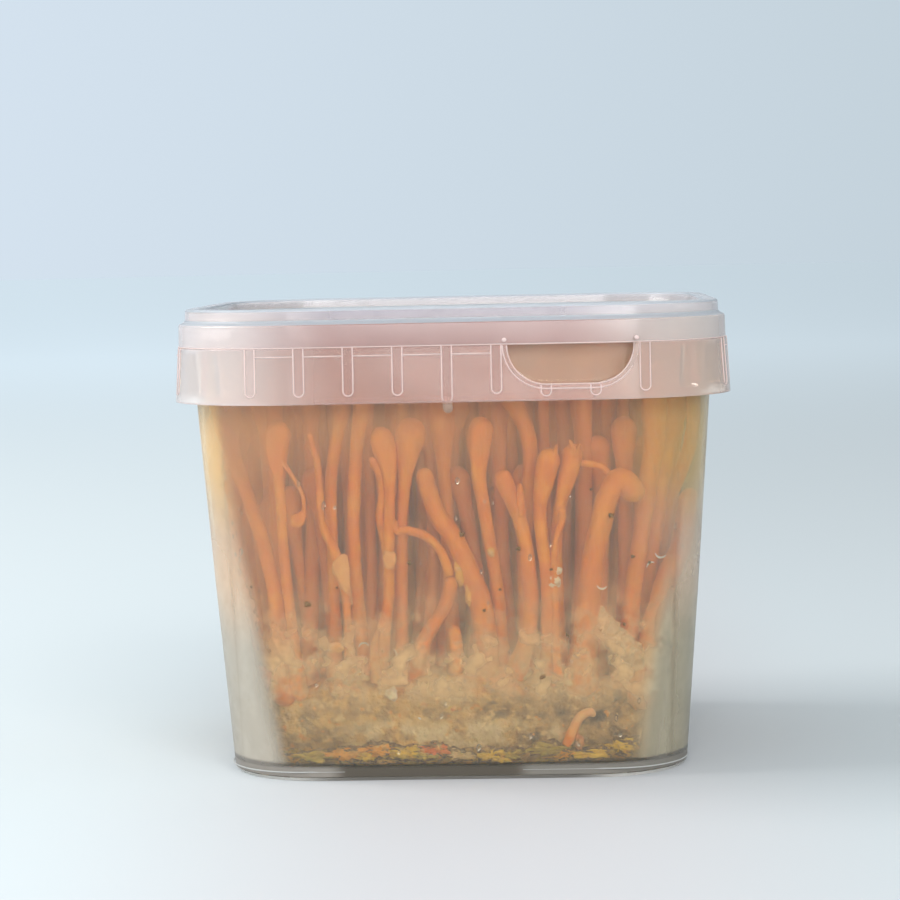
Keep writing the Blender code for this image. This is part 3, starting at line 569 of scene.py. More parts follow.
def bloom_material():
    """The milky look of the wall's bent corners and of the thick base, with painted light and shade.

    Its tints are lighter at the left and darker at the right, as the light falls from the left,
    and the thick base is a dark band, darkest in the middle: painted shadow under the block.
    """
    material, tree, shader = new_material("wall_bloom_and_shade")
    place, signed = coordinates(tree)
    height = signed["Z"]
    parts = unsigned_axes(tree, place)
    slope = ramp(tree, signed["X"], -0.010, 0.010, 0.17, 0.25)
    reach = corner_reach(tree, parts, height, slope)
    right = ramp(tree, signed["X"], -0.010, 0.010)
    narrow = times(tree, right, ramp(tree, height, 0.0, 0.035, 0.0030, 0.0))
    reach = maths(tree, "SUBTRACT", reach, narrow)
    outer = maths(tree, "SUBTRACT", parts["X"], times(tree, height, 0.05))
    side = times(tree, ramp(tree, outer, 0.0440, 0.0468),
                 ramp(tree, parts["Y"], 0.020, 0.038, 0.0, 0.9))
    corner = maths(tree, "MAXIMUM", ramp(tree, reach, 0.0345, 0.0410), side)
    uneven = ramp(tree, patches(tree, 7.0, 0.3, 0.7, 11.0, detail=5.0), 0.0, 1.0, 0.82, 1.0)
    veil = times(tree, times(tree, corner, uneven),
                 ramp(tree, height, 0.030, 0.062, 0.62, 0.28))
    # Painted shade: each of these tints is darker at the right, as the light falls from the left.
    tint = mix_colour(tree, right, (0.53, 0.48, 0.40, 1), (0.40, 0.36, 0.265, 1))
    waist = mix_colour(tree, right, (0.80, 0.60, 0.43, 1), (0.62, 0.49, 0.37, 1))
    tint = mix_colour(tree, ramp(tree, height, 0.026, 0.046), tint, waist)
    top = mix_colour(tree, right, (1.0, 0.66, 0.28, 1), (0.64, 0.45, 0.17, 1))
    tint = mix_colour(tree, ramp(tree, height, 0.050, 0.068), tint, top)
    # A thicker veil towards the right edge, growing with height.
    right_veil = times(tree, ramp(tree, signed["X"], 0.032, 0.052),
                  ramp(tree, height, 0.036, 0.066, 0.0, 0.20))
    veil = maths(tree, "MAXIMUM", veil, right_veil)
    # Painted shadow: the base is a dark band, darkest in the middle under the block and darker at
    # the right.
    middle = times(tree, ramp(tree, signed["X"], -0.0280, -0.0232),
                   ramp(tree, signed["X"], 0.0120, 0.0162, 1.0, 0.0))
    low = ramp(tree, height, 0.0025, 0.0035, 0.88, 0.0)
    ends = mix_colour(tree, right, (0.26, 0.235, 0.205, 1), (0.20, 0.185, 0.16, 1))
    base = mix_colour(tree, middle, ends, (0.095, 0.082, 0.064, 1))
    tint = mix_colour(tree, ramp(tree, height, 0.0035, 0.0042), base, tint)
    feed(tree, shader, {
        "Base Color": tint, "Roughness": 0.3, "Specular IOR Level": 0.25,
        "Alpha": maths(tree, "MAXIMUM", veil, low)})
    return material


# ------------------------------------------------------------------ shapes of the walls

def wall_half(z):
    """Half the tub's outer width at this height."""
    middle = (FOOT_HALF + HEM_WALL_HALF) / 2 + BOW
    if z < MID_Z:
        return between(z, 0, MID_Z, FOOT_HALF, middle)
    if z < HEM_Z:
        return between(z, MID_Z, HEM_Z, middle, HEM_WALL_HALF)
    return min(between(z, HEM_Z, SHELF_Z, HEM_WALL_HALF, SHELF_WALL_HALF), SHELF_WALL_HALF)


def wall_corner(z):
    """Radius of the tub's outer corners at this height."""
    return between(min(z, SHELF_Z), 0, SHELF_Z, CORNER_AT_FOOT, CORNER_AT_SHELF)


def collar_half(z):
    """Half the collar's outer width at this height."""
    return between(max(z, HEM_Z), HEM_Z, SHELF_TOP, COLLAR_HEM_HALF, COLLAR_TOP_HALF)


def face_distance(x, half, radius):
    """Distance from the centre, along -Y, to a rounded square's outline at this x."""
    past = abs(x) - (half - radius)
    if past <= 0:
        return half
    return half - radius + math.sqrt(max(radius ** 2 - past ** 2, 0))


def with_corners(section):
    """Give (half width, height) stations the corner radius that keeps the arcs' centre."""
    return [(half, half - CORNER_CENTRE, z) for half, z in section]


def tub_sections():
    """(half width, corner radius, height) from under the floor, up the outside, down the inside."""
    r = wall_corner
    heel = FLOOR_TOP + 1.4
    rising = [(wall_half(z), r(z), z) for z in (FOOT_CURVE, *WALL_STATIONS)]
    inside = [(wall_half(z) - WALL, r(z) - WALL, z) for z in (*reversed(WALL_STATIONS), heel)]
    under = [(FOOT_HALF - 3.2, r(0) - 3.2, FOOT_RISE), (FOOT_HALF - 2.8, r(0) - 2.8, 0),
             (FOOT_HALF - 0.6, r(0) - 0.6, 0)]
    rim = with_corners([
        (SHELF_WALL_HALF, SHELF_Z), (COLLAR_TOP_HALF - WALL, SHELF_Z),
        (COLLAR_HEM_HALF - WALL, HEM_Z), (COLLAR_HEM_HALF, HEM_Z),
        (COLLAR_TOP_HALF, SHELF_TOP - 0.3), (COLLAR_TOP_HALF - 0.3, SHELF_TOP),
        (SHELF_WALL_HALF + 0.2, SHELF_TOP), (SHELF_WALL_HALF, RIM_TOP),
        (SHELF_WALL_HALF - WALL, RIM_TOP), (SHELF_WALL_HALF - WALL, SHELF_Z)])
    floor = [(FOOT_HALF - WALL - 0.4, r(0) - WALL - 0.4, FLOOR_TOP + 0.4),
             (FOOT_HALF - WALL - 1.4, r(0) - WALL - 1.4, FLOOR_TOP)]
    return under + rising + rim + inside + floor


def lid_sections():
    """The same for the lid: from the panel over the bead, down the skirt and back inside."""
    bottom = SHELF_TOP + LID_GAP
    return with_corners([
        (53.6, PANEL_TOP), (54.0, PANEL_TOP + 0.1), (54.3, PANEL_TOP + 0.4),
        (54.5, LID_TOP - 0.4), (54.65, LID_TOP - 0.1), (54.9, LID_TOP),
        (BEAD_HALF - 0.5, LID_TOP), (BEAD_HALF - 0.15, LID_TOP - 0.15),
        (BEAD_HALF, LID_TOP - 0.5), (BEAD_HALF + 0.1, PANEL_TOP + 0.1),
        (BEAD_HALF + 0.4, PANEL_TOP - 0.4), (LID_HALF - 0.3, PANEL_UNDER),
        (LID_HALF - 0.1, PANEL_UNDER - 0.4), (LID_HALF, bottom), (LID_HALF - WALL, bottom),
        (LID_HALF - WALL - 0.1, PANEL_UNDER - 0.9), (56.85, PANEL_UNDER + 0.3),
        (56.75, LID_TOP - 0.9), (55.15, LID_TOP - 0.9), (55.0, PANEL_UNDER + 0.5),
        (54.2, PANEL_UNDER)])


def start_outline(bm, section, steps):
    """A flat square with rounded corners, whose face shuts the first end of a shell."""
    half, radius, z = section
    known = set(bm.edges)
    square = bmesh.ops.create_circle(
        bm, cap_ends=True, segments=4, radius=half * math.sqrt(2),
        matrix=Matrix.Translation((0, 0, z)) @ Matrix.Rotation(math.radians(45), 4, "Z"))["verts"]
    bmesh.ops.bevel(bm, geom=square, offset=radius, offset_type="OFFSET", affect="VERTICES",
                    segments=steps, profile=0.5, material=-1)
    return [e for e in bm.edges if e not in known]


def move_outline(verts, old, new):
    """Shift a rounded outline from one section to the next, arc point by arc point."""
    old_half, old_radius, _ = old
    new_half, new_radius, new_z = new
    for vert in verts:
        reach = [math.copysign(new_half - new_radius
                               + (abs(c) - old_half + old_radius) * new_radius / old_radius, c)
                 for c in vert.co.xy]
        vert.co = (*reach, new_z)


def extrude_through(bm, edges, sections):
    """Extrude an outline from section to section, and return the last ring's edges."""
    for old, new in zip(sections, sections[1:]):
        ring = set(verts_of(bmesh.ops.extrude_edge_only(bm, edges=edges)))
        edges = [e for e in bm.edges if e.verts[0] in ring and e.verts[1] in ring]
        move_outline(ring, old, new)
    return edges


def grow_shell(sections, steps):
    """Extrude a rounded outline through its sections and shut the last end."""
    bm = bmesh.new()
    edges = extrude_through(bm, start_outline(bm, sections[0], steps), sections)
    bmesh.ops.contextual_create(bm, geom=edges)
    face_outward(bm)
    return bm


def grow_ring(bm, sections, steps):
    """Extrude a rounded outline through sections that come back to the first one."""
    known = set(bm.verts)
    start_outline(bm, sections[0], steps)
    bmesh.ops.delete(bm, geom=[f for f in bm.faces if f.verts[0] not in known],
                     context="FACES_ONLY")
    first = [e for e in bm.edges if e.verts[0] not in known]
    last = extrude_through(bm, first, sections)
    bmesh.ops.bridge_loops(bm, edges=first + last)


def line_ring(bm, half, z, width, steps):
    """A thin closed ring of four-sided section round a rounded square."""
    w = width / 2
    radius = half - CORNER_CENTRE
    grow_ring(bm, [(half - w, radius - w, z), (half, radius, z - w), (half + w, radius + w, z),
                   (half, radius, z + w)], steps)


# ------------------------------------------------------------------ the collar's gussets and recess

def bar_with_round_foot(x, half, radius, top, bottom, segments):
    """A bar in front of the centre whose two lower edges are rounded. Its depth is set later."""
    bm = bmesh.new()
    bmesh.ops.create_cube(bm, size=1.0)
    bmesh.ops.scale(bm, vec=(2 * half, 1, top - bottom), verts=bm.verts)
    bmesh.ops.translate(bm, vec=(x, 0, (top + bottom) / 2), verts=bm.verts)
    lower = [e for e in bm.edges if all(abs(v.co.z - bottom) < 1e-3 for v in e.verts)
             and abs(e.verts[0].co.x - e.verts[1].co.x) < 1e-3]
    bmesh.ops.bevel(bm, geom=lower, offset=radius, offset_type="OFFSET", affect="EDGES",
                    segments=segments, profile=0.5, material=-1, clamp_overlap=True)
    if bottom < HEM_Z < top:
        bmesh.ops.bisect_plane(bm, geom=bm.verts[:] + bm.edges[:] + bm.faces[:],
                               plane_co=(0, 0, HEM_Z + 0.1), plane_no=(0, 0, 1))
    return bm


def stretch_between(bm, back, front, turn=0.0):
    """Set the depth of a bar from the distances of its back and front, then turn it."""
    for vert in bm.verts:
        distance = back(vert.co.z) if vert.co.y > 0 else front(vert.co.z)
        vert.co.y = -distance
    bmesh.ops.triangulate(bm, faces=bm.faces)
    face_outward(bm)
    bmesh.ops.rotate(bm, verts=bm.verts, cent=(0, 0, 0), matrix=Matrix.Rotation(turn, 3, "Z"))


def join_into(bm, part):
    """Add a bmesh to another and free it."""
    mesh = mesh_from(part, "joined part")
    bm.from_mesh(mesh)
    bpy.data.meshes.remove(mesh)


def gusset_back(z, x, diagonal):
    """How far out a gusset starts at this height: a little inside the wall."""
    half, corner = wall_half(z), wall_corner(z)
    if diagonal:
        return half + (math.sqrt(2) - 1) * (half - corner) - BITE
    return face_distance(x, half, corner) - BITE


def gusset_front(z, x, diagonal):
    """How far out it ends: a little inside the collar, and below the collar on a slant."""
    half = collar_half(z) - WALL
    if diagonal:
        return half + (math.sqrt(2) - 1) * CORNER_CENTRE + BITE
    reach = face_distance(x, half, half - CORNER_CENTRE) + BITE
    if z < HEM_Z:
        reach = between(z, CENTRE_RIB_BOTTOM, HEM_Z, wall_half(z) + 1.2, reach)
    return reach


def gusset(x, top, bottom, turn, diagonal=False):
    """One gusset between wall and collar, as a bmesh."""
    bm = bar_with_round_foot(x, RIB_WIDTH / 2, RIB_WIDTH / 2 * 0.98, top, bottom, 5)
    stretch_between(bm, lambda z: gusset_back(z, x, diagonal),
                    lambda z: gusset_front(z, x, diagonal), turn)
    return bm


def all_gussets():
    bm = bmesh.new()
    for side in range(4):
        turn = math.radians(90 * side)
        for index in range(-RIBS_EACH_WAY, RIBS_EACH_WAY + 1):
            top, bottom = RIB_TOP, CENTRE_RIB_BOTTOM if index == 0 else RIB_BOTTOM
            if side == 0 and index in CUT_RIBS:
                top, bottom = RECESS_FLOOR - RECESS_WEB / 2, CUT_RIB_BOTTOM
            join_into(bm, gusset(index * RIB_PITCH, top, bottom, turn))
        join_into(bm, gusset(0, RIB_TOP, RIB_BOTTOM, turn + math.radians(45), diagonal=True))
    return bm


def recess_bar(grow, top, back, front):
    """A bar with the finger recess's outline, grown on all sides."""
    bm = bar_with_round_foot(RECESS_X, RECESS_HALF + grow, RECESS_RADIUS + grow, top,
                             RECESS_FLOOR - grow, 12)
    stretch_between(bm, back, front)
    return bm


def combine(piece, tool, operation):
    """Boolean a tool into a piece. The modifier is baked later."""
    bmesh.ops.scale(tool, vec=(MM, MM, MM), verts=tool.verts)
    body = new_object("tool", mesh_from(tool, "tool"))
    modifier = piece.modifiers.new(operation, "BOOLEAN")
    modifier.operation = operation
    modifier.solver = "EXACT"
    modifier.object = body
    return body


def bake_modifiers(piece):
    """Give a piece the mesh that its modifiers make."""
    bpy.context.view_layer.update()
    evaluated = piece.evaluated_get(bpy.context.evaluated_depsgraph_get())
    mesh = bpy.data.meshes.new_from_object(evaluated)
    old = piece.data
    piece.modifiers.clear()
    piece.data = mesh
    bpy.data.meshes.remove(old)


def soften_edges(piece, width, material_index):
    modifier = piece.modifiers.new("soft edges", "BEVEL")
    modifier.width = width
    modifier.segments = 2
    modifier.limit_method = "ANGLE"
    modifier.angle_limit = math.radians(SOFT_EDGE_ANGLE)
    modifier.material = material_index
    modifier.use_clamp_overlap = True


def even_normals(piece):
    """Let the large flat faces keep their own direction up to their softened edges."""
    modifier = piece.modifiers.new("even normals", "WEIGHTED_NORMAL")
    modifier.keep_sharp = True


# ------------------------------------------------------------------ tub and lid

def reach_of(place):
    """How far out a point lies, the same along a side as round a corner."""
    return CORNER_CENTRE + math.hypot(*(max(abs(c) - CORNER_CENTRE, 0) for c in place.xy))


def is_on_collar(place):
    return abs(reach_of(place) - collar_half(place.z)) < 0.3


def build_tub():
    settings = bpy.context.scene.tub_plastic
    wall = plastic_material("milky_plastic", settings.wall_colour, settings.wall_colour,
                            settings.clearness, (0.05, 0.09))
    # Painted light: the softened edges and moulded lines are lighter, for the light that the
    # plastic's edges catch and carry.
    edge = milky_material("edge_light_plastic", (0.69, 0.54, 0.51), 0.2, 0.6)
    # Painted shade: the collar's corners at the right take a darker tint.
    collar = plastic_material("milky_collar", settings.collar_colour, settings.corner_colour,
                              settings.collar_clearness, (0.15, 0.19), (0.022, 0.048),
                              shaded_right_corner=(0.80, 0.63, 0.54))
    # Painted shadow: the base's flat sides are dark, for the shadow under the block; its corners are
    # lighter.
    base = plastic_material("base_with_painted_shadow", (0.30, 0.28, 0.25), (0.88, 0.85, 0.79), 0.3,
                            (0.38, 0.42), (0.024, 0.036))
    tub = finish_piece("tub_shell", grow_shell(tub_sections(), settings.corner_steps),
                       [wall, edge, collar, base], ["tub"])
    tools = [
        combine(tub, all_gussets(), "UNION"),
        combine(tub, recess_bar(RECESS_WEB, SHELF_TOP - 0.2, lambda z: wall_half(z) - BITE,
                                lambda z: collar_half(z) - WALL + BITE), "UNION"),
        combine(tub, recess_bar(0.0, SHELF_TOP + 2, lambda z: RECESS_BACK,
                                lambda z: COLLAR_HEM_HALF + 3), "DIFFERENCE")]
    bake_modifiers(tub)
    for tool in tools:
        bpy.data.objects.remove(tool)
    for face in tub.data.polygons:
        place = face.center / MM
        outward = face.normal.dot(Vector((place.x, place.y, 0)).normalized())
        if place.z > HEM_Z and is_on_collar(place) and outward > 0.5:
            face.material_index = TUB_COLLAR
        elif place.z < FLOOR_TOP and reach_of(place) > FOOT_HALF - 4:
            face.material_index = TUB_BASE
    soften_edges(tub, settings.edge_width, TUB_EDGE)
    bake_modifiers(tub)
    tub.data.shade_smooth()
    tub.data.set_sharp_from_angle(angle=math.radians(SHARP_ANGLE))
    even_normals(tub)


def build_lid():
    settings = bpy.context.scene.tub_plastic
    plain = plastic_material("lid_plastic", (0.80, 0.76, 0.76), (0.80, 0.76, 0.76),
                             settings.lid_clearness, (0.15, 0.20))
    # Painted shade: the bead's and the skirt's corners at the right take darker tints.
    bead = plastic_material("milky_bead", (0.46, 0.41, 0.45), settings.corner_colour,
                            settings.collar_clearness, (0.15, 0.20), (0.020, 0.048),
                            shaded_right_corner=(0.85, 0.80, 0.80))
    skirt = plastic_material("milky_skirt", (0.66, 0.44, 0.40), (1.0, 0.92, 0.90),
                             settings.collar_clearness, (0.15, 0.20), (0.022, 0.048),
                             shaded_right_corner=(0.86, 0.78, 0.73))
    # Painted reflection: the lid's slanted step faces are a pale blue-grey, for the room that they
    # mirror.
    step = milky_material("lid_step_reflection", (0.50, 0.54, 0.58), 0.5)
    lid = finish_piece("lid_shell", grow_shell(lid_sections(), settings.corner_steps),
                       [plain, step, bpy.data.materials["edge_light_plastic"], skirt, bead],
                       ["lid"], smooth_angle=SHARP_ANGLE)
    for face in lid.data.polygons:
        place = face.center / MM
        reach = reach_of(place)
        slanted = 0.15 < abs(face.normal.z) < 0.97
        if place.z < SHELF_TOP + LID_GAP + 0.3:
            face.material_index = LID_EDGE
        elif slanted and face.normal.z > 0 and reach > 45 and place.z > PANEL_UNDER - 0.2:
            face.material_index = LID_STEP
        elif reach > LID_HALF - 0.5:
            face.material_index = LID_SKIRT
        elif reach > BEAD_HALF - 0.4:
            face.material_index = LID_BEAD
    even_normals(lid)


def collar_point(x, z, turn, proud):
    """A point that far in front of the collar's outer face, on the side with this turn."""
    half = collar_half(z)
    y = -(face_distance(x, half, half - CORNER_CENTRE) + proud)
    return Matrix.Rotation(turn, 3, "Z") @ Vector((x, y, z))


def face_line(bm, points, turn, width):
    """A thin moulded line on the collar along (x, z) points."""
    route = []
    for x, z in points:
        room = COLLAR_HEM_HALF - collar_half(z) - width / 2 - LINE_SINK
        route.append((collar_point(x, z, turn, min(0.0, room)), width / 2))
    sweep(bm, route, 6, 0.0)


def u_shape(x, half, radius, top, bottom, steps=6):
    """(x, z) points down one side of a rounded notch, round its foot and up again."""
    points = [(x - half, top)]
    for side, start in ((-1, 180), (1, 270)):
        for step in range(steps + 1):
            angle = math.radians(start + 90 * step / steps)
            points.append((x + side * (half - radius) + radius * math.cos(angle),
                           bottom + radius + radius * math.sin(angle)))
    return points + [(x + half, top)]


def base_line(steps):
    """A light line low on the wall all round, with a gap in the middle of the front.

    It is a painted highlight along the edge of the floor.
    """
    part = bmesh.new()
    line_ring(part, wall_half(BASE_LINE) - 0.05, BASE_LINE, 0.3, steps)
    for x in BASE_LINE_GAP:
        front = [f for f in part.faces if f.calc_center_median().y < 0]
        geom = list({item for f in front for item in (f, *f.edges, *f.verts)})
        bmesh.ops.bisect_plane(part, geom=geom, plane_co=(x, 0, 0), plane_no=(1, 0, 0))
    low, high = BASE_LINE_GAP
    gap = [f for f in part.faces if low < f.calc_center_median().x < high
           and f.calc_center_median().y < 0]
    bmesh.ops.delete(part, geom=gap, context="FACES")
    fill_openings(part)
    return part


def build_tub_lines():
    """The lines that the moulding leaves on the collar, round gussets and recess.

    Their light colour is painted light, for the light that these moulded edges catch and carry.
    """
    steps = bpy.context.scene.tub_plastic.corner_steps
    bm = bmesh.new()
    for side in range(4):
        turn = math.radians(90 * side)
        for index in range(-RIBS_EACH_WAY, RIBS_EACH_WAY + 1):
            x = index * RIB_PITCH
            top, bottom = SHELF_TOP - 0.1, HEM_Z + 0.1 if index == 0 else RIB_BOTTOM
            if side == 0 and index in CUT_RIBS:
                top, bottom = RECESS_FLOOR - 0.2, CUT_RIB_BOTTOM
            half = RIB_WIDTH / 2 + 0.05
            face_line(bm, u_shape(x, half, half * 0.98, top, bottom), turn, LINE_WIDTH)
            if index < RIBS_EACH_WAY and not (side == 0 and index in (1, *CUT_RIBS)):
                ends = (x + half, x + RIB_PITCH - half)
                face_line(bm, [(ends[0], PANEL_LINE), (sum(ends) / 2, PANEL_LINE),
                               (ends[1], PANEL_LINE)], turn, LINE_WIDTH)
    for grow in (0.0, RECESS_WEB - 0.1):
        face_line(bm, u_shape(RECESS_X, RECESS_HALF + grow, RECESS_RADIUS + grow,
                              SHELF_TOP - 0.2, RECESS_FLOOR - grow, 12), 0.0, LINE_WIDTH)
    fill_openings(bm)
    line_ring(bm, collar_half(SHELF_TOP) - 0.2, SHELF_TOP, LINE_WIDTH, steps)
    line_ring(bm, COLLAR_HEM_HALF - 0.18, HEM_Z + 0.2, LINE_WIDTH, steps)
    for x in (RECESS_X - RECESS_HALF - 0.5, RECESS_X + RECESS_HALF + 0.5):
        knob = bmesh.ops.create_icosphere(bm, subdivisions=3, radius=1.0)["verts"]
        bmesh.ops.scale(bm, verts=knob, vec=(0.5, 0.25, 0.45))
        bmesh.ops.translate(bm, verts=knob, vec=(x, -LID_HALF, SHELF_TOP + 0.9))
    face_outward(bm)
    finish_piece("moulded_lines", bm, [bpy.data.materials["edge_light_plastic"]])
    bm = base_line(steps)
    face_outward(bm)
    # Painted highlight: the line along the edge of the floor is lighter than the plastic.
    finish_piece("base_line", bm, [milky_material("base_line_highlight", (0.50, 0.50, 0.48), 0.3)])


def build_film(name, material, inset, thickness, heights):
    """A thin closed film that follows the wall, that far inside its outer face."""
    outside = [(wall_half(z) - inset, wall_corner(z) - inset, z) for z in heights]
    inside = [(half - thickness, radius - thickness, z) for half, radius, z in reversed(outside)]
    bm = bmesh.new()
    grow_ring(bm, outside + inside, bpy.context.scene.tub_plastic.corner_steps)
    face_outward(bm)
    finish_piece(name, bm, [material], smooth_angle=SHARP_ANGLE)


def build_mist():
    """Condensed water inside the wall, and the milkiness of its bends and of the thick base."""
    build_film("inner_mist_and_glow", mist_material(), WALL + 0.12, 0.05,
               [3.6, *FILM_STATIONS, HEM_Z, SHELF_Z, PANEL_UNDER - 0.7])
    build_film("wall_bloom_and_shade", bloom_material(), -0.05, 0.04,
               [0.9, *FILM_STATIONS, HEM_Z - 0.2])


# ------------------------------------------------------------------ grain block

def build_block():
    bm = merged_copy("substrate")
    bmesh.ops.subdivide_edges(bm, edges=bm.edges, cuts=4, use_grid_fill=True, smooth=0.5)
    bm.normal_update()
    shift = {}
    for vert in bm.verts:
        place = vert.co
        swell = 0.8 * noise.noise(place / 4.0) + 0.6 * noise.noise(place / 1.9)
        swell += 0.35 * noise.noise(place / 0.9)
        shift[vert] = vert.normal * (swell + 0.9)
        if place.z > BLOCK_TOP - 3:
            shift[vert].z += 1.8 * noise.noise(Vector((place.x, place.y, 9.0)) / 6.0)
    for vert, move in shift.items():
        vert.co += move
        vert.co.z = max(vert.co.z, FLOOR_TOP + 0.1)
    keep_inside(bm, CLEARANCE)
    finish_piece("grain_block", bm, [grain_material()], ["substrate"])


def keep_inside(bm, gap):
    """Flatten whatever would come closer than the gap to the inner face of the wall."""
    for vert in bm.verts:
        radius = wall_corner(vert.co.z) - WALL - gap
        flat = wall_half(vert.co.z) - WALL - gap - radius
        past = [max(abs(c) - flat, 0) for c in vert.co.xy]
        reach = math.hypot(*past)
        if reach > radius:
            shrunk = [math.copysign(flat + p * radius / reach, c) if p > 0 else c
                      for p, c in zip(past, vert.co.xy)]
            vert.co.xy = shrunk


# ------------------------------------------------------------------ fruiting bodies

def is_round_end(face):
    """True for the small six-sided face that shuts one end of a packed fruiting body."""
    if len(face.verts) != 6:
        return False
    centre = face.calc_center_median()
    reach = [(v.co - centre).length for v in face.verts]
    return max(reach) < 1.15 * min(reach)


def centre_lines(node):
    """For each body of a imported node, [(centre, radius)] from its foot to its tip.

    The bodies of a clump are followed down to where they grow together.
    """
    bm = merged_copy(node)
    bmesh.ops.dissolve_limit(bm, angle_limit=0.003, verts=[], edges=bm.edges)
    lowest = min(v.co.z for v in bm.verts)
    low = [v.co for v in bm.verts if v.co.z < lowest + 1.5]
    root = sum(low, Vector()) / len(low)
    tips = [f for f in bm.faces if is_round_end(f) and f.calc_center_median().z > lowest + 5]
    if not tips:
        raise RuntimeError(f"{node} has no round tip")
    lines = []
    for tip in tips:
        ring, seen, stations = set(tip.verts), set(), []
        while len(ring) == 6:
            centre = sum((v.co for v in ring), Vector()) / 6
            stations.append((centre, sum((v.co - centre).length for v in ring) / 6))
            seen |= ring
            ring = {e.other_vert(v) for v in ring for e in v.link_edges} - seen
        if len(tips) > 1:
            stations.append((root.lerp(stations[-1][0], 0.04), stations[-1][1] * 1.1))
        lines.append(stations[::-1])
    bm.free()
    return lines


TIP_CROWDING = 1.6               # above 1, the rings stand closer together towards the tip
CLUB_RINGS, CLUB_SIDES = 56, 20
SHOOT_RINGS, SHOOT_SIDES = 40, 12
STALK_RINGS, STALK_SIDES = 30, 10
STALK_COUNT = 190
STALK_SPACING = 3.4
STALK_TRIES = 20000
STALK_HEIGHTS = (62, 74, 84, 90, 94, 95)
PALE_TONE = -0.45


def smooth_route(stations, count):
    """Read a smooth curve through (centre, radius) stations, closer together near the tip."""
    rows = [Vector((*centre, radius)) for centre, radius in stations]
    rows = [2 * rows[0] - rows[1]] + rows + [2 * rows[-1] - rows[-2]]
    dense = []
    for p0, p1, p2, p3 in zip(rows, rows[1:], rows[2:], rows[3:]):
        for step in range(10):
            t = step / 10
            dense.append(0.5 * (2 * p1 + (p2 - p0) * t + (2 * p0 - 5 * p1 + 4 * p2 - p3) * t * t
                                + (3 * p1 - p0 - 3 * p2 + p3) * t ** 3))
    dense.append(rows[-2])
    lengths = [0.0]
    for a, b in zip(dense, dense[1:]):
        lengths.append(lengths[-1] + (b.xyz - a.xyz).length)
    route, index = [], 0
    for step in range(count + 1):
        wanted = lengths[-1] * (1 - (1 - step / count) ** TIP_CROWDING)
        while index < len(dense) - 2 and lengths[index + 1] < wanted:
            index += 1
        t = (wanted - lengths[index]) / max(lengths[index + 1] - lengths[index], 1e-9)
        row = dense[index].lerp(dense[index + 1], min(max(t, 0), 1))
        route.append((row.xyz.copy(), row.w))
    return route


def round_tip(route, head=None):
    """Close a route's last end with a round top of the head's radius."""
    if head is None:
        head = max(radius for _, radius in route[-len(route) // 6:])
    lengths = [0.0]
    for (a, _), (b, _) in zip(reversed(route), reversed(route[:-1])):
        lengths.append(lengths[-1] + (b - a).length)
    cap = 1.15 * head
    rounded = []
    for (centre, radius), left in zip(reversed(route), lengths):
        if left < cap:
            radius = max(head * math.sqrt(max(1 - (1 - left / cap) ** 2, 0)),
                         0.0 if left < 1e-6 else 0.02)
        rounded.append((centre, radius))
    return rounded[::-1]


def sweep(bm, route, sides, tone, wrinkle=0.0, seed=0.0):
    """Roll a flat sheet into a closed tube along a route of (centre, radius)."""
    rings = len(route) - 1
    along_layer = bm.verts.layers.float.get("along") or bm.verts.layers.float.new("along")
    tone_layer = bm.verts.layers.float.get("tone") or bm.verts.layers.float.new("tone")
    sheet = bmesh.ops.create_grid(bm, x_segments=sides, y_segments=rings, size=1.0)["verts"]
    start = (route[1][0] - route[0][0]).normalized()
    frames, across = [], Vector((0, 0, 1)) if abs(start.x) > 0.9 else Vector((1, 0, 0))
    for j, (centre, radius) in enumerate(route):
        ahead = (route[min(j + 1, rings)][0] - route[max(j - 1, 0)][0]).normalized()
        across = (across - ahead * across.dot(ahead)).normalized()
        frames.append((centre, radius, across.copy(), ahead.cross(across)))
    for vert in sheet:
        i = round((vert.co.x + 1) / 2 * sides) % sides
        j = round((vert.co.y + 1) / 2 * rings)
        centre, radius, right, up = frames[j]
        angle = 2 * math.pi * i / sides
        way = right * math.cos(angle) + up * math.sin(angle)
        if wrinkle and radius > 0.01:
            spot = centre + way * radius
            swell = noise.noise(Vector((spot.x / 2.2 + seed, spot.y / 2.2, spot.z / 4.5)))
            fine = noise.noise(Vector((spot.x / 0.8, spot.y / 0.8 + seed, spot.z / 1.2)))
            radius *= 1 + wrinkle * (swell + 0.4 * fine)
        vert.co = centre + way * radius
        vert[along_layer] = j / rings
        vert[tone_layer] = tone
    bmesh.ops.remove_doubles(bm, verts=sheet, dist=1e-4)


# Heads of the front row by its numbers: radius, and how far it narrows down the stalk.
HEADS = {1: (3.4, 20), 2: (2.6, 15), 3: (0.8, 3), 4: (1.9, 10), 5: (2.0, 10), 6: (2.6, 14),
         7: (3.0, 13), 8: (1.9, 8), 9: (2.8, 15), 10: (2.7, 14), 11: (2.2, 10), 12: (1.9, 8),
         13: (2.4, 14), 14: (2.2, 13), 15: (2.7, 11), 16: (2.6, 14), 17: (2.6, 14), 18: (2.3, 12),
         19: (1.5, 7), 20: (1.4, 7)}
FRONT_COUNT = 20

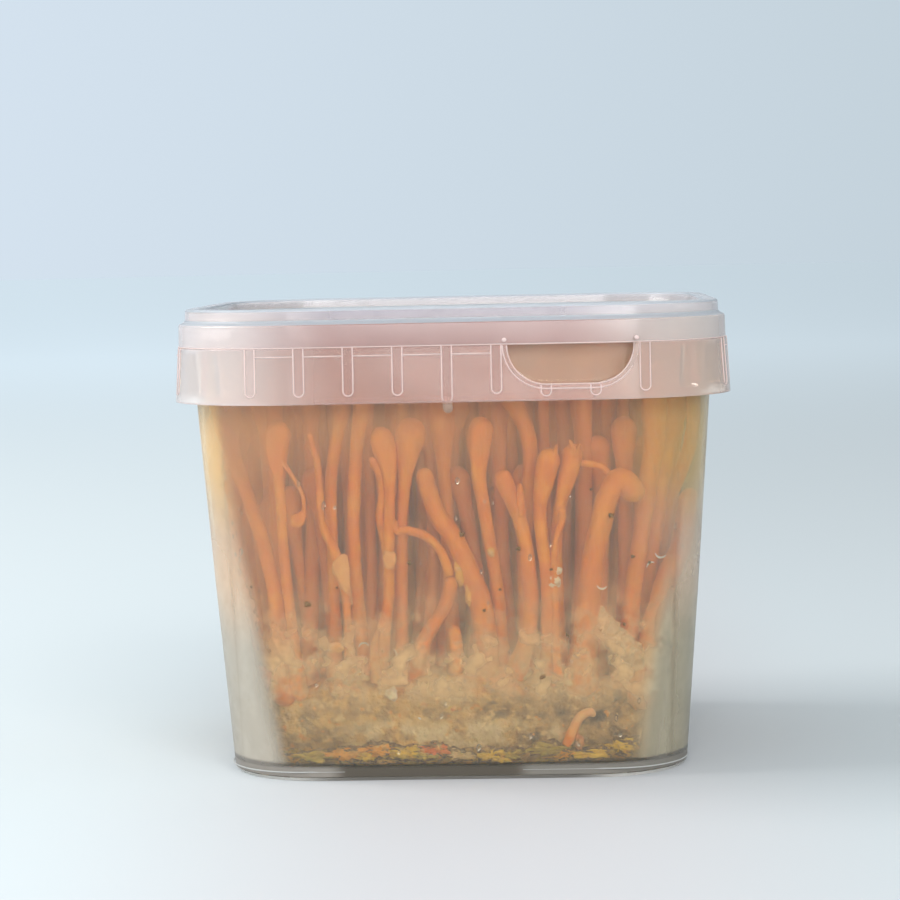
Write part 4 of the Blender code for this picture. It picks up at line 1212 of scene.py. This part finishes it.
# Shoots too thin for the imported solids: (x, y, z, radius) from the tip down.
SHOOTS = [
    # bud on a thin shoot off the second stalk
    [(-36.6, -53, 71.4, 0.5), (-34.2, -52.7, 67.3, 0.45), (-32.4, -52.5, 64.1, 0.45),
     (-31.2, -52.3, 61.5, 0.45), (-31.1, -52.1, 58.5, 0.5), (-31.5, -51.9, 57.4, 1.0),
     (-32.3, -51.9, 56.6, 1.5), (-33.2, -51.9, 55.8, 1.3), (-33.8, -51.9, 55.3, 0.3)],
    # thin stalk by the knobbed head, with a pale bulb
    [(-16.9, -51.4, 69.4, 1), (-14.7, -51, 65.5, 1.1), (-14.5, -50.6, 59.8, 1.1),
     (-15.2, -50.4, 57, 1), (-14.1, -49.9, 50.1, 1), (-13.5, -49.5, 47.7, 1.3),
     (-13.6, -49.4, 43.2, 1), (-14.3, -48.9, 35.7, 1), (-17, -48.4, 28.8, 1), (-17, -48, 21, 1.2)],
    # arch that leans on the thick stalk
    [(-13.2, -51.1, 56.4, 1.3), (-11.6, -51.3, 53.8, 0.9), (-9.7, -51.3, 53.8, 0.9),
     (-5.9, -51.2, 52.7, 0.9), (-3.4, -51.1, 50.5, 0.9), (-2, -50.8, 48.1, 1), (-0.6, -50.5, 44, 1)],
    [(23.3, -51.6, 58.1, 0.9), (23.3, -51.5, 55.4, 0.8), (21.9, -51.3, 51.1, 0.7),
     (21.4, -50.7, 43.9, 0.8), (21.8, -50, 21, 1.0)],
    # thin arch behind the bent head
    [(25.6, -49.5, 67.4, 0.7), (31.5, -49.4, 66.5, 0.7), (34, -49.1, 63.9, 0.8)],
    # spikes on two heads, and the second tip of the forked one
    [(22.5, -52.5, 71.6, 0.3), (22.1, -52.2, 69.5, 0.6), (21.6, -51.8, 67.5, 0.9)],
    [(25.2, -52.3, 72.4, 0.25), (25.9, -52, 70.6, 0.5), (26.2, -51.6, 68.8, 0.8)],
    [(27.4, -52.3, 71.6, 0.25), (26.9, -52, 70.2, 0.5), (26.6, -51.6, 68.6, 0.8)],
    [(14.6, -52.6, 63.4, 0.5), (14.6, -52.2, 60.5, 0.9), (14.6, -51.8, 56.5, 1.0)],
    # curled sprout low in the block
    [(29.6, -48.4, 13.2, 0.8), (28.2, -48.4, 14.0, 1.0), (26.3, -48.3, 12.8, 1.0),
     (25.0, -48.2, 10.6, 1.1), (24.0, -48.0, 8.3, 1.1), (23.2, -48.0, 6.8, 0.9)],
    # pale bulbs on two thin stalks
    [(-22.6, -52.2, 49.0, 1.0), (-23.3, -52.0, 47.4, 1.5), (-23.6, -51.9, 45.9, 1.9),
     (-23.2, -51.5, 44.2, 1.5), (-22.6, -50.8, 41.5, 1.0), (-21.8, -49.6, 38.0, 0.4)],
    [(-14.0, -51.4, 50.0, 0.9), (-13.5, -51.4, 48.8, 1.4), (-13.3, -51.4, 47.8, 1.6),
     (-13.4, -51.0, 46.4, 1.2), (-13.6, -50.0, 44.5, 0.4)],
]
PALE_SHOOTS = (len(SHOOTS) - 2, len(SHOOTS) - 1)


def shape_head(route, head, reach):
    """Swell the last stretch of a route to a club's head."""
    left, shaped = 0.0, [(route[-1][0], head)]
    for (above, _), (centre, radius) in zip(reversed(route), reversed(route[:-1])):
        left += (centre - above).length
        swell = 1 - smooth_step(left / reach, 0.2, 1.0)
        shaped.append((centre, radius + (head - radius) * swell))
    return shaped[::-1]


def root_foot(route):
    """Widen a route's foot where growth surrounds it, and sink it into the block."""
    foot, width = route[0]
    inward = Vector((-foot.x, -foot.y, 0)).normalized()
    wide = [(foot + inward * 3.2 - Vector((0, 0, 2.4)), width),
            (foot + inward * 1.4 - Vector((0, 0, 1.3)), 1.4 * width)]
    for centre, radius in route:
        wide.append((centre, radius * (1 + 0.6 * math.exp(-max(centre.z - BLOCK_TOP, 0) / 4.0))))
    return wide


def grow_club(bm, stations, rings, sides, tone, seed, head=None, reach=9.0):
    """One fruiting body along (centre, radius) stations. reach is how long its head tapers."""
    route = smooth_route(stations, rings)
    if head is None:
        head = 1.15 * max(radius for _, radius in route[-rings // 5:])
    sweep(bm, root_foot(round_tip(shape_head(route, head, reach), head)), sides, tone,
          wrinkle=0.12, seed=seed)


def close_tubes(bm):
    """Shut the ends of swept tubes and keep them clear of the wall."""
    fill_openings(bm)
    keep_inside(bm, CLEARANCE + 0.02)
    face_outward(bm)


def build_bodies():
    flesh = flesh_material()
    dice = random.Random(4)
    for number, node in enumerate(BODY_NODES, start=1):
        bm = bmesh.new()
        for stations in centre_lines(node):
            in_front = number <= FRONT_COUNT
            tone = dice.uniform(0.0, 0.25) if in_front else dice.uniform(0.25, 0.8)
            head, reach = HEADS.get(number, (None, 9.0))
            grow_club(bm, stations, CLUB_RINGS, CLUB_SIDES, tone, number, head, reach)
        close_tubes(bm)
        finish_piece(f"club_{number:02d}", bm, [flesh], [node])


def build_shoots():
    bm = bmesh.new()
    for number, shoot in enumerate(SHOOTS):
        stations = [(Vector(point[:3]), point[3]) for point in reversed(shoot)]
        route = round_tip(smooth_route(stations, SHOOT_RINGS), shoot[0][3])
        tone = PALE_TONE if number in PALE_SHOOTS else 0.0
        sweep(bm, route, SHOOT_SIDES, tone, wrinkle=0.10, seed=number)
    close_tubes(bm)
    finish_piece("thin_shoots", bm, [bpy.data.materials["orange_flesh"]])


def build_inner_stalks():
    """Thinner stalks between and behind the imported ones, which fill the middle of the tub."""
    dice = random.Random(12)
    taken = []
    for node in BODY_NODES:
        for line in centre_lines(node):
            taken.append((line[0][0], line[-1][0]))
    bm = bmesh.new()
    made = tries = 0
    while made < STALK_COUNT and tries < STALK_TRIES:
        tries += 1
        x, y = dice.uniform(-43, 43), dice.uniform(-41, 43)
        lean = Vector((x, y, 0)) * dice.uniform(-0.02, 0.14)
        lean += Vector((dice.uniform(-4, 4), dice.uniform(-4, 4), 0))
        foot = Vector((x, y, BLOCK_TOP - 1))
        height = dice.choice(STALK_HEIGHTS) + dice.uniform(-3, 1)
        tip = Vector((x + lean.x, y + lean.y, height))
        limit = wall_half(60) - 6
        if max(abs(tip.x), abs(tip.y)) > limit or math.hypot(x, y) > 55:
            continue
        if any(min((foot.xy - f.xy).length, (tip.xy - t.xy).length) < STALK_SPACING
               for f, t in taken):
            continue
        taken.append((foot, tip))
        made += 1
        stalk = dice.uniform(1.2, 1.8)
        head = stalk * dice.uniform(1.3, 1.9)
        sway = Vector((dice.uniform(-2, 2), dice.uniform(-2, 2), 0))
        stations = []
        for part, width in ((0, 1.2), (0.15, 1.05), (0.4, 1.0), (0.7, 1.0), (0.85, 1.1), (1.0, 1.2)):
            centre = foot.lerp(tip, part) + sway * math.sin(math.pi * part)
            stations.append((centre, width * stalk))
        grow_club(bm, stations, STALK_RINGS, STALK_SIDES, dice.uniform(0.1, 0.9), made, head,
                  dice.uniform(8, 14))
    close_tubes(bm)
    finish_piece("inner_stalks", bm, [bpy.data.materials["orange_flesh"]])


# ------------------------------------------------------------------ growth, rind and drops

CREAM = (0.80, 0.57, 0.31)
PALE = (0.92, 0.80, 0.60)
TAN = (0.84, 0.44, 0.18)
ORANGE = (0.95, 0.40, 0.04)
RED_ORANGE = (0.88, 0.20, 0.04)
AMBER = (0.93, 0.45, 0.04)
YELLOW = (0.86, 0.55, 0.05)
OLIVE = (0.50, 0.37, 0.07)
DARK = (0.17, 0.10, 0.04)

RIND_A_SIDE = 26                 # pieces of rind on each side that isn't photographed
GROWTH_A_SIDE = 30
TUFT_CRUMBS = 16
MOUND_LUMPS = 22
DROPS_A_SIDE = 120
CRESCENT_STEPS = 12

# Lumps against the front wall, (x, z, half width, half height, colour).
FRONT_LUMPS = [
    (-13.6, 18.5, 1.2, 1.4, PALE), (-25.2, 28.8, 1.8, 1.1, ORANGE), (-1.2, 16.0, 1.5, 1.2, YELLOW),
    (-0.7, 15.4, 0.8, 0.7, RED_ORANGE), (26.2, 7.4, 0.9, 1.6, (0.75, 0.33, 0.14)),
    (-39.8, 22.5, 2.2, 2.4, (0.88, 0.36, 0.16)),
    (1.5, 44.6, 1.2, 3.0, AMBER), (3.4, 40.0, 0.8, 2.6, AMBER), (8.2, 48.9, 0.8, 1.1, AMBER),
    (14.6, 55.6, 0.7, 0.9, AMBER)]
# Pieces of rind along the foot of the block, in the same way.
RIND = [
    (-24.0, 5.4, 3.4, 1.0, ORANGE), (-30.5, 5.0, 3.0, 0.9, OLIVE), (-16.6, 6.3, 2.4, 1.0, ORANGE),
    (-11.0, 5.6, 3.6, 1.1, YELLOW), (-4.6, 6.2, 2.4, 1.0, RED_ORANGE), (-7.5, 4.9, 2.2, 0.8, OLIVE),
    (-19.5, 4.8, 2.0, 0.8, YELLOW), (8.0, 4.6, 2.6, 1.1, YELLOW), (12.0, 5.2, 1.8, 0.8, OLIVE),
    (28.3, 4.9, 4.0, 0.8, YELLOW), (35.4, 6.4, 2.6, 1.1, YELLOW), (19.8, 6.0, 3.2, 0.9, OLIVE),
    (1.0, 5.0, 2.4, 0.8, CREAM), (23.0, 5.0, 1.6, 0.7, ORANGE)]
# Dark specks on the wall, (x, z, radius).
SPECKS = [(-30.8, 38.5, 0.75), (33.6, 56.4, 0.6), (2.2, 52.9, 0.55), (14.1, 49.7, 0.5),
          (6.5, 36.6, 0.4), (20.8, 45.1, 0.35), (-24.5, 42.0, 0.3), (38.0, 47.5, 0.45),
          (41.5, 46.0, 0.4), (-43.0, 42.0, 0.35), (29.5, 62.0, 0.3), (10.0, 41.0, 0.35),
          (-9.0, 47.0, 0.4), (24.0, 31.0, 0.4), (36.0, 33.0, 0.35), (18.5, 22.0, 0.6)]
# Painted highlights: light crescents at the edges of large drops,
# (x, z, radius, start and end in degrees).
CRESCENTS = [(-19.2, 28.8, 1.1, 20, 170), (-13.7, 27.2, 1.4, -80, 60), (31.5, 41.9, 1.2, 200, 330),
             (42.4, 44.8, 1.1, 60, 180), (44.5, 48.0, 1.3, 190, 320), (-8.3, 12.6, 0.9, 30, 80)]


def inner_point(x, z, behind):
    """A point that far behind the inner face of the front wall."""
    y = -(face_distance(x, wall_half(z) - WALL, wall_corner(z) - WALL) - behind)
    return Vector((x, y, z))


def add_lump(bm, place, size, tint, uneven=0.3, detail=2, turn=0.0):
    """A blob with three radii and a rough surface. tint is its colour."""
    layer = bm.verts.layers.float_color.get("tint") or bm.verts.layers.float_color.new("tint")
    verts = bmesh.ops.create_icosphere(bm, subdivisions=detail, radius=1.0)["verts"]
    for vert in verts:
        swell = 1 + uneven * noise.noise(vert.co * 1.6 + place)
        swell += 0.6 * uneven * noise.noise(vert.co * 3.7 - place)
        swell += 0.35 * uneven * noise.noise(vert.co * 8.0 + place)
        vert.co = Vector(c * s for c, s in zip(vert.co * swell, size))
        vert[layer] = (*tint, 1.0)
    bmesh.ops.rotate(bm, verts=verts, matrix=Matrix.Rotation(turn, 3, "Z"))
    bmesh.ops.translate(bm, verts=verts, vec=place)


def build_growth():
    """Rind round the foot of the block, mycelium between the stalks' feet, and crumbs."""
    dice = random.Random(31)
    bm = bmesh.new()
    for x, z, wide, high, tint in FRONT_LUMPS:
        add_lump(bm, inner_point(x, z, 1.5), (wide, 0.8, high), tint, 0.4, 3)
    for x, z, wide, high, tint in RIND:
        add_lump(bm, inner_point(x, z, 2.0), (wide * 1.15, 1.0, high * 1.5), DARK, 0.8, 4)
        add_lump(bm, inner_point(x, z, 1.6), (wide, 1.0, high), tint, 1.1, 4)
    for side in range(4):
        turn = math.radians(90 * side)
        spin = Matrix.Rotation(turn, 3, "Z")
        for _ in range(RIND_A_SIDE if side else 0):
            x, z = dice.uniform(-36, 36), dice.uniform(4.0, 6.5)
            tint = dice.choice((OLIVE, OLIVE, CREAM, ORANGE, DARK, YELLOW))
            size = (dice.uniform(1.0, 3.2), 1.0, dice.uniform(0.6, 1.1))
            add_lump(bm, spin @ inner_point(x, z, 1.6), size, tint, 1.0, 3, turn)
        for _ in range(GROWTH_A_SIDE):
            x, z = dice.uniform(-41, 42), dice.uniform(18.0, 22.0)
            size = (dice.uniform(2.0, 4.5), dice.uniform(2.0, 3.0), dice.uniform(1.2, 2.6))
            tint = dice.choice((CREAM, CREAM, TAN, TAN))
            place = spin @ inner_point(x, z, dice.uniform(4.0, 9.0))
            add_lump(bm, place, size, tint, 0.5, 3, turn)
    for _ in range(TUFT_CRUMBS):
        place = inner_point(21.4 + dice.gauss(0, 1.0), 42.6 + dice.gauss(0, 1.3), 1.2)
        add_lump(bm, place, [dice.uniform(0.4, 0.9)] * 3, PALE, 0.8, 2)
    for step in range(MOUND_LUMPS):
        part = step / (MOUND_LUMPS - 1)
        place = inner_point(30.5 + 11.5 * part, 35 - 14.0 * part ** 0.9, 3.0)
        size = (1.6 + 1.7 * part, 1.4, 1.8 + 1.6 * part)
        add_lump(bm, place, size, (0.92, 0.62, 0.36), 0.3, 3)
    keep_inside(bm, CLEARANCE)
    face_outward(bm)
    finish_piece("growth_and_rind", bm, [growth_material()])


def build_specks():
    """Dark crumbs that stick to the front wall."""
    bm = bmesh.new()
    for x, z, radius in SPECKS:
        place = inner_point(x, z, -WALL)
        add_lump(bm, place, (radius * 0.75, 0.1, radius * 0.65), DARK, 1.2, 3)
    face_outward(bm)
    dark = milky_material("dark_speck", (0.20, 0.12, 0.06), 0.0, 0.6)
    finish_piece("wall_specks", bm, [dark])


def build_drops():
    """Condensed drops on the inside of the wall, most of them low down."""
    dice = random.Random(77)
    bm = bmesh.new()
    for side in range(4):
        spin = Matrix.Rotation(math.radians(90 * side), 3, "Z")
        for number in range(DROPS_A_SIDE):
            z = 6 + 62 * dice.random() ** 1.6
            x = dice.uniform(-1, 1) * (wall_half(z) - 4)
            if number % 3 == 0:
                x, z = dice.uniform(-52, -41), dice.uniform(24, 66)
            radius = 0.14 + 0.45 * dice.random() ** 3
            place = spin @ inner_point(x, z, 0.02)
            verts = bmesh.ops.create_icosphere(bm, subdivisions=1, radius=radius)["verts"]
            bmesh.ops.scale(bm, verts=verts, vec=(1, 0.45, dice.uniform(0.9, 2.2)))
            bmesh.ops.rotate(bm, verts=verts, matrix=spin)
            bmesh.ops.translate(bm, verts=verts, vec=place)
    face_outward(bm)
    finish_piece("drops", bm, [water_material()])


def build_drop_highlights():
    """Painted highlights: bright crescents at the edges of large drops."""
    bm = bmesh.new()
    for x, z, radius, start, end in CRESCENTS:
        route = []
        for step in range(CRESCENT_STEPS + 1):
            part = step / CRESCENT_STEPS
            angle = math.radians(start + (end - start) * part)
            thick = 0.06 + 0.16 * math.sin(math.pi * part)
            route.append((inner_point(x + radius * math.cos(angle), z + radius * math.sin(angle),
                                      -0.75), thick))
        sweep(bm, route, 8, 0.0)
    close_tubes(bm)
    finish_piece("drop_highlights", bm, [milky_material("crescent_highlight", (1.0, 0.96, 0.9), 0.1)])


# ------------------------------------------------------------------ stage

# The camera as it was fitted to the photo: angles in degrees, lengths in metres, lens in mm.
CAMERA_AZIMUTH = 2.25
CAMERA_DISTANCE = 0.6313
CAMERA_HEIGHT = 0.11358
LOOK_TURN = 0.20
LOOK_DOWN = 4.24
ROLL = -1.24
LENS = 110.46
SENSOR = 36.0
FLOOR_RADIUS = 12.0
LIGHT_TARGET = (0, 0, 0.05)
KEY_LIGHT_PLACE = (-1.15, 0.02, 0.85)
KEY_LIGHT_SIZE = 0.8
FILL_LIGHT_PLACE = (0.35, -1.5, 0.75)
FILL_LIGHT_SIZE = 1.2


def place_camera():
    """Stand the camera where the photo was taken from, and turn it the same way."""
    data = bpy.data.cameras.new("camera")
    data.lens = LENS
    data.sensor_width = SENSOR
    data.clip_start = 0.01
    azimuth = math.radians(CAMERA_AZIMUTH)
    look, down = math.radians(CAMERA_AZIMUTH + LOOK_TURN), math.radians(LOOK_DOWN)
    roll = math.radians(ROLL)
    ahead = Vector((-math.sin(look) * math.cos(down), math.cos(look) * math.cos(down),
                    -math.sin(down)))
    right = ahead.cross(Vector((0, 0, 1))).normalized()
    up = right.cross(ahead)
    tilted_right = right * math.cos(roll) + up * math.sin(roll)
    tilted_up = up * math.cos(roll) - right * math.sin(roll)
    place = Vector((CAMERA_DISTANCE * math.sin(azimuth), -CAMERA_DISTANCE * math.cos(azimuth),
                    CAMERA_HEIGHT))
    camera = new_object("camera", data)
    rows = [(tilted_right[i], tilted_up[i], -ahead[i], place[i]) for i in range(3)]
    camera.matrix_world = Matrix(rows + [(0, 0, 0, 1)])
    bpy.context.scene.camera = camera


def side_of_room(tree, way):
    """0 at the room's left and 1 at its right, for a direction."""
    return add_node(tree, "ShaderNodeMapRange", {
        "Value": axes_of(tree, way)["X"], "From Min": -0.2, "From Max": 0.2}).outputs["Result"]


def build_floor():
    """A pale floor that runs into the room's colours far away.

    Its colour holds painted light: lighter at the left and darker at the right, near the tub and
    far off, as the light falls from the left.
    """
    settings = bpy.context.scene.tub_stage
    material, tree, shader = new_material("pale_floor")
    place, axes = coordinates(tree)
    length = add_node(tree, "ShaderNodeVectorMath", {0: place}, operation="LENGTH")
    way = add_node(tree, "ShaderNodeVectorMath", {0: place}, operation="NORMALIZE").outputs[0]
    far = ramp(tree, length.outputs["Value"], 0.3, 2.5)
    # Painted light far off: lighter at the left and darker at the right.
    colour = mix_colour(tree, side_of_room(tree, way), (0.765, 0.855, 0.90, 1),
                        (0.63, 0.695, 0.725, 1))
    # Painted light near the tub: brightest at the left and darker at the right.
    near = mix_colour(tree, ramp(tree, axes["X"], -0.09, 0.0), (1.12, 1.245, 1.24, 1),
                      (1.02, 1.04, 1.03, 1))
    near = mix_colour(tree, ramp(tree, axes["X"], 0.02, 0.10), near, (0.97, 1.07, 1.07, 1))
    near = mix_colour(tree, 1.0, near, rgba(settings.floor_colour), blend="MULTIPLY")
    colour = mix_colour(tree, far, near, colour)
    feed(tree, shader, {"Base Color": colour, "Roughness": 1.0, "Specular IOR Level": 0.0})
    bm = bmesh.new()
    bmesh.ops.create_circle(bm, cap_ends=True, segments=96, radius=FLOOR_RADIUS)
    mesh = mesh_from(bm, "floor")
    mesh.materials.append(material)
    floor = new_object("floor", mesh)


def area_light(name, place, size, power):
    """A soft square light that faces the tub and isn't seen itself."""
    data = bpy.data.lights.new(name, "AREA")
    data.shape = "SQUARE"
    data.size = size
    data.energy = power
    lamp = new_object(name, data)
    lamp.location = place
    lamp.visible_camera = False
    way = Vector(LIGHT_TARGET) - Vector(place)
    lamp.rotation_euler = way.to_track_quat("-Z", "Y").to_euler()


def build_sky():
    """The room's light: cooler on the left and brighter overhead."""
    world = bpy.data.worlds.new("pale_room")
    world.use_nodes = True
    tree = world.node_tree
    background = tree.nodes["Background"]
    way, axes = coordinates(tree, "Generated")
    colour = mix_colour(tree, side_of_room(tree, way), (0.66, 0.76, 0.86, 1),
                        (0.53, 0.62, 0.68, 1))
    overhead = ramp(tree, axes["Z"], 0.25, 0.7)
    colour = mix_colour(tree, overhead, colour, (0.92, 0.96, 1.0, 1))
    feed(tree, background, {"Color": colour, "Strength": 1.0})
    bpy.context.scene.world = world


def build_stage():
    scene = bpy.context.scene
    place_camera()
    build_floor()
    build_sky()
    settings = scene.tub_stage
    area_light("key_light", KEY_LIGHT_PLACE, KEY_LIGHT_SIZE, settings.key_strength)
    area_light("front_fill", FILL_LIGHT_PLACE, FILL_LIGHT_SIZE, settings.fill_strength)
    scene.view_settings.view_transform = "Standard"
    scene.view_settings.look = "None"


# ------------------------------------------------------------------ operators and panel

class CORDYCEPS_OT_stage(bpy.types.Operator):
    """Set up the camera, the lights and the floor"""
    bl_idname = "cordyceps_tub.stage"
    bl_label = "Stage"

    def execute(self, context):
        build_stage()
        return {"FINISHED"}


class CORDYCEPS_OT_tub(bpy.types.Operator):
    """Mould the tub with its collar, gussets and finger recess"""
    bl_idname = "cordyceps_tub.tub"
    bl_label = "Tub"

    def execute(self, context):
        build_tub()
        build_tub_lines()
        build_mist()
        return {"FINISHED"}


class CORDYCEPS_OT_lid(bpy.types.Operator):
    """Mould the lid"""
    bl_idname = "cordyceps_tub.lid"
    bl_label = "Lid"

    def execute(self, context):
        build_lid()
        return {"FINISHED"}


class CORDYCEPS_OT_block(bpy.types.Operator):
    """Shape the grain block"""
    bl_idname = "cordyceps_tub.block"
    bl_label = "Grain block"

    def execute(self, context):
        build_block()
        return {"FINISHED"}


class CORDYCEPS_OT_bodies(bpy.types.Operator):
    """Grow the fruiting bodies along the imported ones"""
    bl_idname = "cordyceps_tub.bodies"
    bl_label = "Fruiting bodies"

    def execute(self, context):
        build_bodies()
        build_shoots()
        build_inner_stalks()
        return {"FINISHED"}


class CORDYCEPS_OT_growth(bpy.types.Operator):
    """Add mycelium, rind, crumbs and condensed drops"""
    bl_idname = "cordyceps_tub.growth"
    bl_label = "Growth and drops"

    def execute(self, context):
        build_growth()
        build_specks()
        build_drops()
        build_drop_highlights()
        return {"FINISHED"}


OPERATORS = (CORDYCEPS_OT_stage, CORDYCEPS_OT_tub, CORDYCEPS_OT_lid, CORDYCEPS_OT_block,
             CORDYCEPS_OT_bodies, CORDYCEPS_OT_growth)
SETTINGS = (("tub_plastic", PlasticSettings), ("tub_flesh", FleshSettings),
            ("tub_stage", StageSettings))


class CORDYCEPS_PT_panel(bpy.types.Panel):
    bl_label = "Cordyceps tub"
    bl_idname = "CORDYCEPS_PT_panel"
    bl_space_type = "VIEW_3D"
    bl_region_type = "UI"
    bl_category = "Cordyceps tub"

    def draw(self, context):
        for operator in OPERATORS:
            self.layout.operator(operator.bl_idname)
        for name, kind in SETTINGS:
            box = self.layout.box()
            for field in kind.__annotations__:
                box.prop(getattr(context.scene, name), field)


def register():
    for name, kind in SETTINGS:
        bpy.utils.register_class(kind)
        setattr(bpy.types.Scene, name, PointerProperty(type=kind))
    for kind in (*OPERATORS, CORDYCEPS_PT_panel):
        bpy.utils.register_class(kind)


def unregister():
    for kind in (CORDYCEPS_PT_panel, *reversed(OPERATORS)):
        bpy.utils.unregister_class(kind)
    for name, kind in reversed(SETTINGS):
        delattr(bpy.types.Scene, name)
        bpy.utils.unregister_class(kind)


def main():
    register()
    bpy.ops.cordyceps_tub.stage()
    bpy.ops.cordyceps_tub.tub()
    bpy.ops.cordyceps_tub.lid()
    bpy.ops.cordyceps_tub.block()
    bpy.ops.cordyceps_tub.bodies()
    bpy.ops.cordyceps_tub.growth()
    bpy.context.view_layer.update()


if __name__ == "__main__":
    main()
